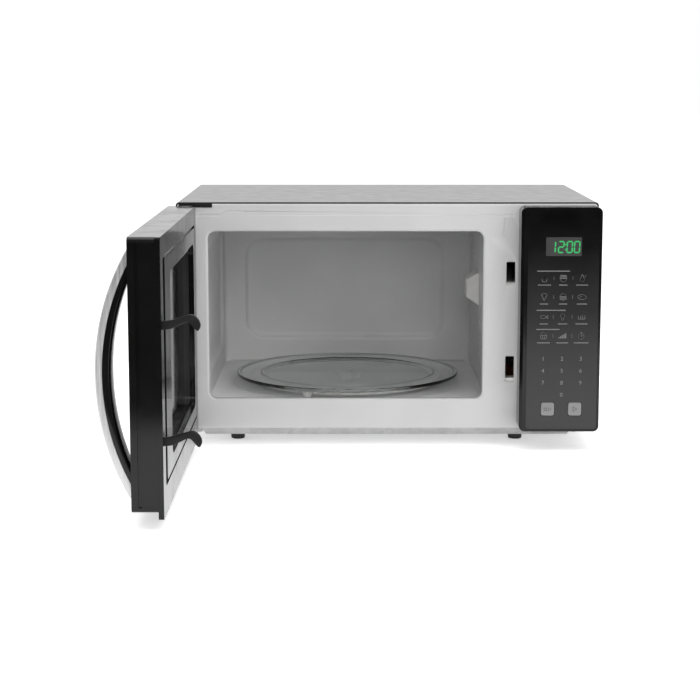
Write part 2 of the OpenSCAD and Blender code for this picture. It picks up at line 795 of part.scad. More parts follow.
module fan_blade() color("whitesmoke") {
    y1 = fan_plate_y - 2;
    rod_y(fan_x, fan_z, y1 - 11, y1, 11);
    rod_y(fan_x, fan_z, y1 - 1, fan_plate_y + 20, shaft_r);
    for (k = [0:4])
        translate([fan_x, y1 - 5.5, fan_z]) rotate([0, 72 * k, 0])
            intersection() {
                rod_y(0, 0, -6, 6, fan_r - 1);
                rotate([28, 0, 0]) translate([9, -0.8, -12]) cube([fan_r, 1.6, 24]);
            }
}

module air_duct() color("whitesmoke") {
    // Box that leads the fan's air past the lamp to the holes in the cavity wall
    x0 = bay_x0 + 0.1;
    x1 = bay_x0 + 24;
    y0 = lamp_y - 22;
    y1 = lamp_y + 22;
    z0 = lamp_z - 27;
    z1 = lamp_z + 27;
    difference() {
        block(x0, x1, y0, y1, z0, z1);
        block(x0 - 1, x1 - 1.5, y0 + 1.5, y1 - 1.5, z0 + 1.5, z1 - 1.5);
        block(x0 + 5, x1 - 5, y1 - 2, y1 + 1, z0 + 6, z1 - 6);
        rod_x(lamp_y, lamp_z, x1 - 3, x1 + 1, 8);
    }
}

module lamp_holder() color("whitesmoke") {
    x1 = bay_x0 + 24;
    difference() {
        union() {
            rod_x(lamp_y, lamp_z, x1 - 4, x1 + 16, 7.8);
            rod_x(lamp_y, lamp_z, x1 + 0.1, x1 + 2, 11);
        }
        rod_x(lamp_y, lamp_z, x1 - 5, x1 + 12, 6);
    }
}

module lamp_bulb() color("white") {
    x1 = bay_x0 + 24;
    translate([x1 - 11.5, lamp_y, lamp_z]) rotate([0, 90, 0]) rotate_extrude() intersection() {
        union() {
            circle(8.5);
            translate([0, 4]) square([5.8, 16]);
        }
        translate([0, -10]) square([10, 30]);
    }
}

module thermal_cutout() color("black") {
    x = bay_x0 + 10;
    y = vent_y - 30;
    rod_x(y, vent_z + 22, bay_x0 + 0.05, bay_x0 + 1.2, 11);
    rod_x(y, vent_z + 22, bay_x0 + 1, x, 8);
    for (dy = [-5, 5])
        block(x - 0.5, x + 7, y + dy - 0.4, y + dy + 0.4, vent_z + 19, vent_z + 25);
}

module filter_board() color("darkgreen") {
    y0 = back - 74;
    y1 = back - 16;
    x0 = bay_x0 + 18;
    x1 = bay_x1 - 8;
    z = base_top + 8;
    board = 1.6;
    difference() {
        union() {
            block(x0, x1, y0, y1, z, z + board);
            for (x = [x0 + 6, x1 - 6], y = [y0 + 6, y1 - 6])
                translate([x, y, base_top + 0.05]) cylinder(h = z - base_top, r = 3);
        }
        for (x = [x0 + 6, x1 - 6], y = [y0 + 6, y1 - 6])
            translate([x, y, base_top - 1]) cylinder(h = 12, r = 1.4);
    }
    // Choke coil, suppression capacitor and fuse
    translate([x0 + 24, y0 + 30, z + 1]) difference() {
        cylinder(h = 13, r = 11);
        translate([0, 0, -1]) cylinder(h = 16, r = 4.5);
    }
    block(x0 + 42, x0 + 60, y0 + 12, y0 + 24, z + 1, z + 15);
    rod_x(y1 - 12, z + 6.5, x0 + 18, x0 + 44, 3);
    for (x = [x0 + 18, x0 + 40])
        block(x, x + 4, y1 - 15.5, y1 - 8.5, z + 1, z + 4.5);
}

latch_plate_x = slot_x1 + 4.2;

module latch_board() color("whitesmoke") {
    y0 = front + sheet_t + 0.2;
    y1 = front + 46;
    z0 = slot_z[0] - 10;
    z1 = slot_z[1] + slot_h[1] + 12;
    difference() {
        block(latch_plate_x, latch_plate_x + 2, y0, y1, z0, z1);
        for (i = [0, 1])
            block(latch_plate_x - 1, latch_plate_x + 3, y0 + 22, y0 + 34, hook_z[i] - 3,
                hook_z[i] + 12);
    }
    // Front flange, pierced in line with the slots
    difference() {
        block(bay_x0 + 4, latch_plate_x + 2, y0, y0 + 2, z0, z1);
        for (i = [0, 1])
            block(slot_x0 - 1.5, slot_x1 + 1.5, y0 - 1, y0 + 3, slot_z[i] - 1.5,
                slot_z[i] + slot_h[i] + 1.5);
    }
    // Catch ledge under each hook
    for (i = [0, 1])
        difference() {
            block(slot_x0 - 3, latch_plate_x + 1, y0 + 1, y0 + 15, hook_z[i] - 9, hook_z[i] - 2);
            translate([slot_x0 - 4, y0 + 1, hook_z[i] - 2]) rotate([-30, 0, 0])
                translate([0, -12, 0]) cube([30, 12, 12]);
        }
}

module microswitches() color("dimgray") {
    for (z = [hook_z[0] - 12, hook_z[1] - 12, hook_z[1] + 11]) {
        x0 = latch_plate_x + 2.1;
        difference() {
            block(x0, x0 + 10.3, front + 20, front + 47.8, z, z + 15.9);
            for (y = [front + 23, front + 45])
                rod_x(y, z + 8, x0 - 1, x0 + 12, 1.5);
        }
        for (y = [front + 26, front + 42])
            block(x0 + 4.9, x0 + 5.4, y, y + 4.8, z - 5, z + 0.1);
    }
}

// ---- Turntable drive ----------------------------------------------------------------------

module turntable_motor() color("silver") {
    z0 = motor_top - motor_h;
    difference() {
        union() {
            translate([tt_x, tt_y, z0]) cylinder(h = motor_h, r = motor_d / 2);
            block(tt_x - motor_d / 2 - 7, tt_x + motor_d / 2 + 7, tt_y - 5, tt_y + 5,
                motor_top - 1.2, motor_top);
        }
        translate([tt_x, tt_y, z0 + 4]) cylinder(h = motor_h, r = drive_shaft_d / 2 + shaft_gap);
        for (s = [-1, 1])
            translate([tt_x + s * (motor_d / 2 + 3.5), tt_y, z0]) cylinder(h = 30, r = 1.8);
    }
    block(tt_x - 9, tt_x + 9, tt_y - motor_d / 2 - 7, tt_y - motor_d / 2 + 1, z0 + 3, z0 + 12);
}

module drive_shaft() color("whitesmoke") {
    z0 = motor_top - motor_h + 4.1;
    translate([tt_x, tt_y, z0]) cylinder(h = hub_z - 2 - z0, r = drive_shaft_d / 2);
}

module turntable_coupler() color("whitesmoke") {
    z0 = floor_z + 0.6;
    difference() {
        union() {
            translate([tt_x, tt_y, z0]) cylinder(h = hub_z - z0, r = 8);
            for (a = wheel_angles)
                translate([tt_x, tt_y, z0]) rotate([0, 0, a]) {
                    translate([0, -3, 0]) cube([coupler_r - 3, 6, hub_z - z0]);
                    translate([coupler_r - 3, 0, 0]) cylinder(h = hub_z - z0, r = 3);
                }
        }
        translate([tt_x, tt_y, z0 - 1])
            cylinder(h = hub_z - z0 - 1, r = drive_shaft_d / 2 + shaft_gap);
    }
}

module turntable_glass() color("lightcyan") {
    inner = ring_r - 8;
    step = glass_z - hub_z;
    rim_h = 1;
    translate([tt_x, tt_y, hub_z + 0.1]) rotate_extrude($fn = 96)
        polygon([[0, 0], [inner, 0], [inner + 5, step - 0.1], [tt_r - 1, step - 0.1],
            [tt_r, step + 0.9], [tt_r, step + glass_t + rim_h - 0.6],
            [tt_r - 0.6, step + glass_t + rim_h], [tt_r - 3, step + glass_t + rim_h],
            [tt_r - 5, step + glass_t], [inner + 3.4, step + glass_t], [inner - 1.6, glass_t],
            [0, glass_t]]);
    // Three lugs that the coupler drives
    for (a = wheel_angles)
        translate([tt_x, tt_y, hub_z - 2.4]) rotate([0, 0, a + 60])
            translate([13, 0, 0]) cylinder(h = 2.6, r = 3);
}

module roller_ring() color("white") {
    h = 3;
    difference() {
        union() {
            translate([tt_x, tt_y, wheel_z - h / 2]) cylinder(h = h, r = ring_r + 3, $fn = 96);
            for (a = wheel_angles)
                translate([tt_x, tt_y, wheel_z]) rotate([0, 0, a]) {
                    translate([ring_r + 1, -3, -h / 2]) cube([4.6, 6, h]);
                    rod_x(0, 0, ring_r + 2, wheel_r + wheel_w / 2 + 1.2, wheel_pin_d / 2);
                    rod_x(0, 0, wheel_r + wheel_w / 2 + 0.3, wheel_r + wheel_w / 2 + 1.2,
                        wheel_pin_d / 2 + 0.5);
                }
        }
        translate([tt_x, tt_y, wheel_z - h]) cylinder(h = 2 * h, r = ring_r - 3, $fn = 96);
    }
}

module roller_wheel(angle) color("white") {
    translate([tt_x, tt_y, wheel_z]) rotate([0, 0, angle]) difference() {
        union() {
            rod_x(0, 0, wheel_r - wheel_w / 2, wheel_r + wheel_w / 2, wheel_d / 2 - 0.5);
            rod_x(0, 0, wheel_r - wheel_w / 2 + 0.5, wheel_r + wheel_w / 2 - 0.5, wheel_d / 2);
        }
        rod_x(0, 0, wheel_r - wheel_w, wheel_r + wheel_w, wheel_pin_d / 2 + wheel_bore_gap);
        for (k = [0:4])
            rotate([72 * k, 0, 0])
                rod_x(0, (wheel_d / 2 + wheel_pin_d / 2) / 2, wheel_r + wheel_w / 2 - 1.2,
                    wheel_r + wheel_w / 2 + 1, 0.8);
    }
}

// ---- Control panel ------------------------------------------------------------------------

key_x = [fascia_x - key_dx, fascia_x + key_dx];

module control_housing() color("black") {
    w = panel_wall;
    difference() {
        plate_xz(panel_x0, right, panel_z0, panel_z1, panel_y0, front - 0.05, panel_r);
        plate_xz(panel_x0 + w, right - w, panel_z0 + w, panel_z1 - w, panel_y0 + fascia_t + 2.2,
            front + 1, panel_r - w);
        // Seat of the fascia
        plate_xz(fascia_x0 - 0.1, fascia_x1 + 0.1, fascia_z0 - 0.1, fascia_z1 + 0.1,
            panel_y0 - 1, panel_y0 + fascia_t, 3.6);
        for (x = key_x)
            rod_y(x, key_z, panel_y0, panel_y0 + 8, key_stem_d / 2 + key_clearance);
        for (x = key_x)
            plate_xz(x - key_size / 2 - key_clearance, x + key_size / 2 + key_clearance,
                key_z - key_size / 2 - key_clearance, key_z + key_size / 2 + key_clearance,
                panel_y0, panel_y0 + fascia_t + 0.9, 2.5);
        plate_xz(fascia_x - display_w / 2, fascia_x + display_w / 2, display_z - display_h / 2,
            display_z + display_h / 2, panel_y0, panel_y0 + 8, 1);
        // Shoulder along the door side
        translate([panel_x0, panel_y0, panel_z0 - 1]) rotate([0, 0, 45])
            translate([-2.2, -2.2, 0]) cube([4.4, 4.4, panel_z1 - panel_z0 + 2]);
    }
    // Pillars that carry the control board
    for (x = [fascia_x0 + 6, fascia_x1 - 6], z = [fascia_z0 + 8, fascia_z1 - 8])
        rod_y(x, z, panel_y0 + fascia_t + 2.1, board_y - 0.05, 2.6);
}

module control_fascia() color("black") {
    difference() {
        plate_xz(fascia_x0, fascia_x1, fascia_z0, fascia_z1, panel_y0 + 0.2, panel_y0 + fascia_t,
            3.5);
        for (x = key_x)
            plate_xz(x - key_size / 2 - key_clearance, x + key_size / 2 + key_clearance,
                key_z - key_size / 2 - key_clearance, key_z + key_size / 2 + key_clearance,
                panel_y0 - 1, panel_y0 + fascia_t + 1, 2.5);
        plate_xz(fascia_x - display_w / 2, fascia_x + display_w / 2, display_z - display_h / 2,
            display_z + display_h / 2, panel_y0 - 1, panel_y0 + fascia_t + 1, 1);
    }
}

module display_window() color("dimgray") {
    plate_xz(fascia_x - display_w / 2 + 0.05, fascia_x + display_w / 2 - 0.05,
        display_z - display_h / 2 + 0.05, display_z + display_h / 2 - 0.05, panel_y0 + 0.4,
        panel_y0 + 2.2, 0.9);
}

module display_module() color("black") {
    plate_xz(fascia_x - display_w / 2 - 1, fascia_x + display_w / 2 + 1,
        display_z - display_h / 2 - 1, display_z + display_h / 2 + 1,
        panel_y0 + fascia_t + 2.6, board_y - 0.05, 0.5);
}

module control_board() color("darkgreen") {
    difference() {
        block(fascia_x0 + 1, fascia_x1 - 1, board_y, board_y + board_t, fascia_z0 + 3,
            fascia_z1 - 3);
        for (x = [fascia_x0 + 6, fascia_x1 - 6], z = [fascia_z0 + 8, fascia_z1 - 8])
            rod_y(x, z, board_y - 1, board_y + 3, 1.4);
    }
    // Key switches, relays and the control transformer
    for (x = key_x) {
        block(x - 3, x + 3, board_y - 3, board_y + 0.1, key_z - 3, key_z + 3);
        rod_y(x, key_z, board_y - 3.6, board_y - 2.9, 1.7);
    }
    for (z = [key_z + 40, key_z + 62])
        block(fascia_x - 22, fascia_x - 3, board_y + board_t - 0.1, board_y + board_t + 13,
            z, z + 16);
    block(fascia_x + 2, fascia_x + 27, board_y + board_t - 0.1, board_y + board_t + 13.5,
        key_z + 44, key_z + 74);
}

// Square key cap with a stem that reaches its switch
module key(x) {
    stem_end = board_y - 3.6 - key_travel - 0.1;
    plate_xz(x - key_size / 2, x + key_size / 2, key_z - key_size / 2, key_z + key_size / 2,
        panel_y0 - 0.5, panel_y0 + fascia_t - 0.1, 2.2);
    rod_y(x, key_z, panel_y0 + 1, stem_end, key_stem_d / 2);
}

module key_start() color("darkgray") {
    key(key_x[1]);
}

module key_stop() color("darkgray") {
    key(key_x[0]);
}

// ---- Door ---------------------------------------------------------------------------------

module door_bezel() color("black") on_door() {
    difference() {
        union() {
            difference() {
                plate_xz(door_x0, door_x1, door_z0, door_z1, door_y0, cover_y0 - 0.05, bezel_r);
                // Grooves along the door's two ends
                for (x = [door_x0 - 1, door_x1 - groove_in])
                    block(x, x + groove_in + 1, groove_y0, groove_y1, door_z0 + bezel_r,
                        door_z1 - bezel_r);
                plate_xz(door_x0 + bezel_wall, door_x1 - bezel_wall, door_z0 + bezel_wall,
                    door_z1 - bezel_wall, door_y0 + glass_panel_t + bezel_front, door_y1, 2);
            }
            // Bosses round the hinge pins
            for (z = [door_z0 + 1, hinge_pocket_z - boss_h - 1])
                translate([hinge_x, hinge_y, z]) intersection() {
                    cylinder(h = boss_h, r = boss_d / 2);
                    block(-8.9, 20, -30, cover_y0 - hinge_y - 0.05, 0, boss_h);
                }
            // Bosses round the handle screws
            for (s = [-1, 1])
                rod_y(handle_x, handle_z + s * screw_span, door_y0 + glass_panel_t,
                    door_y0 + glass_panel_t + bezel_front + 5, 6);
        }
        // Seat of the outer glass and the window behind it
        plate_xz(door_x0 + glass_margin - 0.1, glass_x1 + 0.1, door_z0 + glass_margin - 0.1,
            door_z1 - glass_margin + 0.1, door_y0 - 1, door_y0 + glass_panel_t, 4);
        plate_xz(win_x0, win_x1, win_z0, win_z1, door_y0 - 1, door_y1, win_r);
        for (s = [-1, 1])
            rod_y(handle_x, handle_z + s * screw_span, door_y0 - 1, door_y1, 2.1);
        translate([hinge_x, hinge_y, 0]) cylinder(h = body_h, r = hinge_pin_d / 2);
        hinge_relief();
        tongue_pocket();
    }
}

module door_glass() color("black") on_door() {
    plate_xz(door_x0 + glass_margin, glass_x1, door_z0 + glass_margin, door_z1 - glass_margin,
        door_y0, door_y0 + glass_panel_t - 0.05, 3.9);
}

choke_x0 = hinge_x + 8;
choke_x1 = hook_x - hook_t / 2 - 1.6;
choke_z0 = door_z0 + bezel_wall + 1;
choke_z1 = door_z1 - bezel_wall - 1;

module choke_plate() color("gray") on_door() {
    y1 = cover_y0 - 0.05;
    t = choke_t;
    difference() {
        union() {
            plate_xz(choke_x0, choke_x1, choke_z0, choke_z1, y1 - t, y1, 3);
            // Tray that carries the screen
            plate_xz(win_x0 - t, win_x1 + t, win_z0 - t, win_z1 + t, screen_y - t, y1, win_r + t);
        }
        plate_xz(win_x0, win_x1, win_z0, win_z1, screen_y, door_y1, win_r);
        plate_xz(win_x0 + 5, win_x1 - 5, win_z0 + 5, win_z1 - 5, screen_y - 5, door_y1, win_r - 5);
    }
}

module door_screen() color("dimgray") on_door() {
    plate_xz(win_x0 + 0.1, win_x1 - 0.1, win_z0 + 0.1, win_z1 - 0.1, screen_y + 0.05,
        screen_y + 0.05 + screen_t, win_r - 0.1);
}

module inner_film() color("lightgray") on_door() {
    y0 = screen_y + screen_t + 0.15;
    plate_xz(win_x0 + 0.15, win_x1 - 0.15, win_z0 + 0.15, win_z1 - 0.15, y0, y0 + film_t,
        win_r - 0.15);
}

module choke_cover() color("black") on_door() {
    groove_w = 2.8;
    channel_w = 15;
    groove_x0 = hinge_x + 12;
    groove_x1 = door_x1 - 21;
    groove_z0 = open_z0 - 16;
    groove_z1 = open_z1 + 9.3;
    difference() {
        union() {
            plate_xz(cover_x0, door_x1, door_z0, door_z1, cover_y0, door_y1, 2);
            // Lip that hangs below the bezel
            plate_xz(hinge_x + 12, door_x1, lip_z, door_z0 + 6, cover_y0, door_y1, 2);
            // Guides of the latch bar
            for (x = [hook_x - hook_t / 2 - guide_gap - guide_t, hook_x + hook_t / 2 + guide_gap])
                block(x, x + guide_t, bar_y0 + 1, cover_y0 + 0.1, hook_z[0] + 30, hook_z[0] + 62);
            // Seat of the latch spring
            block(hook_x - 3.2, hook_x + 3.2, bar_y0 + 0.5, cover_y0 + 0.1,
                bar_z1 + latch_spring_h + 0.2, bar_z1 + latch_spring_h + 3);
        }
        plate_xz(win_x0 - 1.5, win_x1 + 1.5, win_z0 - 1.5, win_z1 + 1.5, cover_y0 + 2, door_y1 + 1,
            win_r + 1.5);
        plate_xz(win_x0 + 3, win_x1 - 3, win_z0 + 3, win_z1 - 3, cover_y0 - 1, door_y1 + 1,
            win_r - 3);
        // Decorative groove round the window
        difference() {
            plate_xz(groove_x0, groove_x1, groove_z0, groove_z1, door_y1 - 1.8, door_y1 + 1, 6);
            plate_xz(groove_x0 + groove_w, groove_x1 - channel_w, groove_z0 + groove_w,
                groove_z1 - groove_w, door_y1 - 2, door_y1 + 2, 4);
        }
        for (i = [0, 1])
            plate_xz(hook_x - hook_t / 2 - 0.6, hook_x + hook_t / 2 + 0.6, hook_z[i] - 1,
                hook_z[i] + hook_root_h + latch_travel + 1, cover_y0 - 1, door_y1 + 1, 0.5);
        hinge_relief();
        tongue_pocket();
    }
}

module hinge_pins() color("silver") on_door() {
    pin_l = boss_h + tongue_gap + tongue_t + 0.4;
    for (z = [lower_tongue_z - 0.6, door_z1 - pin_l])
        translate([hinge_x, hinge_y, z]) cylinder(h = pin_l, r = hinge_pin_d / 2);
}

// Radius of the arc with a half chord and a rise
function arc_radius(half, rise) = (half * half + rise * rise) / (2 * rise);

// Flat side of an arch: everything inside the arc, in front of the door's outer face
module arch(half, rise) {
    r = arc_radius(half, rise);
    intersection() {
        translate([0, rise - r]) circle(r, $fn = 180);
        translate([-half - 1, 0]) square([2 * half + 2, rise + 1]);
    }
}

// Handle section standing on the outer face, from one arch to another
module arch_bar(half_out, rise_out, half_in, rise_in, width) {
    translate([handle_x - width / 2, door_y0, handle_z]) rotate([0, -90, 0]) rotate([180, 0, 0])
        linear_extrude(width) difference() {
            arch(half_out, rise_out);
            translate([0, -0.01]) arch(half_in, rise_in);
        }
}

module handle_bar() color("dimgray") on_door() {
    difference() {
        arch_bar(trim_half - 0.1, handle_rise - trim_t - 0.05, grip_half, grip_gap,
            handle_w);
        for (s = [-1, 1])
            rod_y(handle_x, handle_z + s * screw_span, door_y0 - screw_grip - 0.4, door_y0 + 1,
                1.6);
    }
}

module handle_trim() color("silver") on_door() {
    arch_bar(handle_len / 2, handle_rise, trim_half, handle_rise - trim_t, handle_w);
}

module handle_screws() color("gray") on_door() {
    y = door_y0 + glass_panel_t + bezel_front + 5;
    for (s = [-1, 1])
        screw_y(handle_x, handle_z + s * screw_span, y, 3.6, 2.4, 1.55,
            y - door_y0 + screw_grip, -1);
}

// Side outline of one hook: x runs from the bar towards the cavity, y upwards from the root
module hook_outline() {
    root = cover_t + 3;
    r = hook_root_h;
    polygon([[-root, 0], [hook_len * 0.2, 0], [hook_len * 0.41, 3.3], [hook_len * 0.63, 6.7],
        [hook_len * 0.7, 5.7], [hook_len * 0.85, 0.5], [hook_len * 0.92, -0.9],
        [hook_len * 0.95, -0.6], [hook_len, 3.2], [hook_len * 0.93, 9.4],
        [hook_len * 0.77, hook_crest], [hook_len * 0.59, hook_crest - 1.6],
        [hook_len * 0.18, r], [-root, r]]);
}

module latch_bar() color("black") on_door() {
    block(hook_x - hook_t / 2, hook_x + hook_t / 2, bar_y0, bar_y1, bar_z0, bar_z1);
    for (i = [0, 1])
        translate([hook_x - hook_t / 2, door_y1, hook_z[i]]) rotate([90, 0, 90])
            linear_extrude(hook_t) hook_outline();
}

module latch_spring() color("silver") on_door() {
    translate([hook_x, (bar_y0 + bar_y1) / 2, bar_z1 + 0.1])
        helix(2.3, 0.35, 7, latch_spring_h);
}

// ---- Assembly -----------------------------------------------------------------------------

cabinet_wrap();
rear_panel();
base_plate();
front_frame();
cavity_liner();
feet();
cabinet_screws();
cord_gland();
upper_hinge_bracket();
lower_hinge_bracket();
waveguide_cover();
waveguide();
magnetron_body();
magnetron_fins();
magnetron_antenna();
transformer_core();
transformer_windings();
hv_capacitor();
capacitor_clamp();
hv_diode();
fan_motor();
fan_shroud();
fan_blade();
air_duct();
lamp_holder();
lamp_bulb();
thermal_cutout();
filter_board();
latch_board();
microswitches();
turntable_motor();
motor_cover();
control_housing();
control_fascia();
display_window();
display_module();
control_board();
key_start();
key_stop();
door_bezel();
door_glass();
choke_plate();
door_screen();
inner_film();
choke_cover();
hinge_pins();
handle_bar();
handle_trim();
handle_screws();
latch_bar();
latch_spring();
turntable_glass();
turntable_coupler();
drive_shaft();
roller_ring();
roller_wheel(wheel_angles[0]);  // roller_wheel_1
roller_wheel(wheel_angles[1]);  // roller_wheel_2
roller_wheel(wheel_angles[2]);  // roller_wheel_3
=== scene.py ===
"""Looks of a countertop microwave oven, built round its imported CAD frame. Lengths in millimetres
until they reach Blender, which takes metres. Names of sizes follow the CAD source."""

import math

import bmesh  # noqa: E402
import bpy  # noqa: E402
from mathutils import Matrix, Vector  # noqa: E402


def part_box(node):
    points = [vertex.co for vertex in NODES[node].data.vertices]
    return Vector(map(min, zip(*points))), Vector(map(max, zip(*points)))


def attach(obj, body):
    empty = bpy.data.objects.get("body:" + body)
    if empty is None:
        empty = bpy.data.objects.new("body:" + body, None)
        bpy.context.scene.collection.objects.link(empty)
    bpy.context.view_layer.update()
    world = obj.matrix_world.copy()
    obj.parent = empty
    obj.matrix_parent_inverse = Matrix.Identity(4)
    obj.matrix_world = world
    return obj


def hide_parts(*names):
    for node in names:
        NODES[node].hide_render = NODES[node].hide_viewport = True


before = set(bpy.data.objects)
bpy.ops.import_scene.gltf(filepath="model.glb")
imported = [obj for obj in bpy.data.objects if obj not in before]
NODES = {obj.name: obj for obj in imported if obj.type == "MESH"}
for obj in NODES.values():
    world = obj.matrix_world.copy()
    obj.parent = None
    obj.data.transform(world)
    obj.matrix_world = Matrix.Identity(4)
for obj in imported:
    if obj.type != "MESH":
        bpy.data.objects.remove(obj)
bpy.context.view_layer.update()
MM = 0.001

# ---- Places, from the CAD boxes ------------------------------------------------------------


def box_mm(node):
    low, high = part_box(node)
    return low / MM, high / MM


frame_lo, frame_hi = box_mm("front_frame")
wrap_hi = box_mm("cabinet_wrap")[1]
left, right, base_z, body_h = frame_lo.x, frame_hi.x, frame_lo.z, frame_hi.z
back = wrap_hi.y
SHEET = 0.8
FLANGE = 12
front = frame_hi.y - SHEET - FLANGE
SIDE_GAP, BAY_W, TOP_GAP, REAR_GAP = 31.5, 117.5, 24, 13
FLOOR_Z = 46.5
PAN_DEPTH = 8.4
cav_x0, cav_x1 = left + SIDE_GAP, right - BAY_W
cav_y0, cav_y1 = front + SHEET, back - REAR_GAP
cav_z1 = body_h - TOP_GAP
open_x0, open_x1 = cav_x0 + 2.5, cav_x1 - 5.4
open_z0, open_z1 = FLOOR_Z + 4.7, cav_z1 - 7.2
OPEN_R = 8
panel_x0 = right - 85.1
hinge_x, hinge_y = left + 11, front - 12.5
door_y1 = front - 1.5
door_y0 = door_y1 - 29
door_x1 = panel_x0 - 1.4
door_z0, door_z1 = base_z - 2.9, body_h - 3.3
handle_x, handle_z = door_x1 - 22, (door_z0 + door_z1) / 2 - 0.4
HANDLE_W = 24
tt_x, tt_y = (cav_x0 + cav_x1) / 2, front + (cav_y1 - front) / 2
glass_lo, glass_hi = box_mm("turntable_glass")
fascia_lo, fascia_hi = box_mm("control_fascia")
fascia_x = (fascia_lo.x + fascia_hi.x) / 2
window_lo, window_hi = box_mm("display_window")

# ---- Materials -----------------------------------------------------------------------------


def srgb(value):
    """Linear value of an sRGB grey from 0 to 255."""
    v = value / 255
    return v / 12.92 if v <= 0.04045 else ((v + 0.055) / 1.055) ** 2.4


def grey(value, tint=(1, 1, 1)):
    return tuple(srgb(value) * t for t in tint) + (1,)


class Finish:
    """A material on the Principled shader, built from noise in object space."""

    def __init__(self, name, **sockets):
        self.material = bpy.data.materials.new(name)
        self.material.use_nodes = True
        self.tree = self.material.node_tree
        self.shader = self.tree.nodes["Principled BSDF"]
        self.place = self.tree.nodes.new("ShaderNodeTexCoord").outputs["Object"]
        self.set(**sockets)

    def set(self, **sockets):
        for key, value in sockets.items():
            self.shader.inputs[key.replace("_", " ")].default_value = value

    def link(self, a, b):
        self.tree.links.new(a, b)

    def stretch(self, x, y, z):
        """Object coordinates scaled along the axes."""
        node = self.tree.nodes.new("ShaderNodeMapping")
        node.inputs["Scale"].default_value = (x, y, z)
        self.link(self.place, node.inputs["Vector"])
        return node.outputs["Vector"]

    def noise(self, scale, detail=3.0, place=None, rough=0.55):
        node = self.tree.nodes.new("ShaderNodeTexNoise")
        node.inputs["Scale"].default_value = scale
        node.inputs["Detail"].default_value = detail
        node.inputs["Roughness"].default_value = rough
        self.link(place or self.place, node.inputs["Vector"])
        return node.outputs["Fac"]

    def cells(self, scale, feature="F1"):
        node = self.tree.nodes.new("ShaderNodeTexVoronoi")
        node.inputs["Scale"].default_value = scale
        node.feature = feature
        self.link(self.place, node.inputs["Vector"])
        return node.outputs["Distance"]

    def span(self, value, from_lo, from_hi, to_lo, to_hi):
        node = self.tree.nodes.new("ShaderNodeMapRange")
        for key, number in (("From Min", from_lo), ("From Max", from_hi),
                            ("To Min", to_lo), ("To Max", to_hi)):
            node.inputs[key].default_value = number
        self.link(value, node.inputs["Value"])
        return node.outputs["Result"]

    def mix(self, factor, a, b):
        node = self.tree.nodes.new("ShaderNodeMix")
        node.data_type = "RGBA"
        self.link(factor, node.inputs["Factor"])
        for key, value in (("A", a), ("B", b)):
            socket = [s for s in node.inputs if s.name == key and s.type == "RGBA"][0]
            if isinstance(value, tuple):
                socket.default_value = value
            else:
                self.link(value, socket)
        return [s for s in node.outputs if s.type == "RGBA"][0]

    def colour(self, value):
        self.link(value, self.shader.inputs["Base Color"])

    def two_tone(self, a, b, scale, detail=3.0, contrast=0.2, place=None):
        """Base colour that drifts between two close colours."""
        factor = self.span(self.noise(scale, detail, place), 0.5 - contrast, 0.5 + contrast, 0, 1)
        self.colour(self.mix(factor, a, b))

    def roughness(self, low, high, scale, detail=3.0, place=None):
        value = self.span(self.noise(scale, detail, place), 0.35, 0.65, low, high)
        self.link(value, self.shader.inputs["Roughness"])

    def bump(self, height, depth_mm, strength=1.0):
        node = self.tree.nodes.new("ShaderNodeBump")
        node.inputs["Strength"].default_value = strength
        node.inputs["Distance"].default_value = depth_mm * MM
        previous = self.shader.inputs["Normal"]
        if previous.is_linked:
            self.link(previous.links[0].from_socket, node.inputs["Normal"])
        self.link(height, node.inputs["Height"])
        self.link(node.outputs["Normal"], previous)


def painted(name, dark, light, rough, peel=0.02, metallic=0.0, fleck=None, tint=(1, 1, 1)):
    """Sprayed or powder-coated sheet: slow colour drift, orange peel, optional fine flecks."""
    f = Finish(name, Metallic=metallic, Specular_IOR_Level=0.5)
    drift = f.span(f.noise(9, 2), 0.35, 0.65, 0, 1)
    base = f.mix(drift, grey(dark, tint), grey(light, tint))
    if fleck:
        spots = f.span(f.cells(fleck[0]), 0.10, 0.22, 1, 0)
        spots_mix = f.tree.nodes.new("ShaderNodeMath")
        spots_mix.operation = "MULTIPLY"
        f.link(spots, spots_mix.inputs[0])
        spots_mix.inputs[1].default_value = fleck[2]
        base = f.mix(spots_mix.outputs[0], base, grey(fleck[1], tint))
    f.colour(base)
    f.roughness(rough - 0.05, rough + 0.06, 60)
    f.bump(f.noise(700, 2), peel)
    f.bump(f.noise(90, 2), peel * 1.6)
    return f.material


def moulded(name, dark, light, rough, grain=0.004, grain_scale=1500, tint=(1, 1, 1), spec=0.5):
    """Moulded plastic: faint mottling, handling smears in the gloss, fine grain."""
    f = Finish(name, Specular_IOR_Level=spec)
    f.two_tone(grey(dark, tint), grey(light, tint), 35, 4)
    f.roughness(max(rough - 0.04, 0.02), rough + 0.05, 26, 5)
    f.bump(f.noise(grain_scale, 3), grain)
    return f.material


def metal(name, dark, light, rough, brush=None, tint=(1, 1, 1), depth=0.004):
    """Bare or plated metal: brushed along one axis, or a fine spangle."""
    f = Finish(name, Metallic=1.0)
    place = f.stretch(*brush) if brush else None
    f.two_tone(grey(dark, tint), grey(light, tint), 1.0 if brush else 120, 4, place=place)
    f.roughness(rough - 0.07, rough + 0.08, 1.0 if brush else 60, 5, place=place)
    f.bump(f.noise(1.0 if brush else 900, 3, place), depth)
    return f.material


def clear_glass(name, colour, rough=0.02, ior=1.5):
    f = Finish(name, Transmission_Weight=1.0, IOR=ior)
    f.two_tone(colour, tuple(c * 0.985 for c in colour[:3]) + (1,), 20, 2)
    f.roughness(rough, rough + 0.03, 40, 4)
    f.bump(f.noise(25, 2), 0.01)
    return f.material


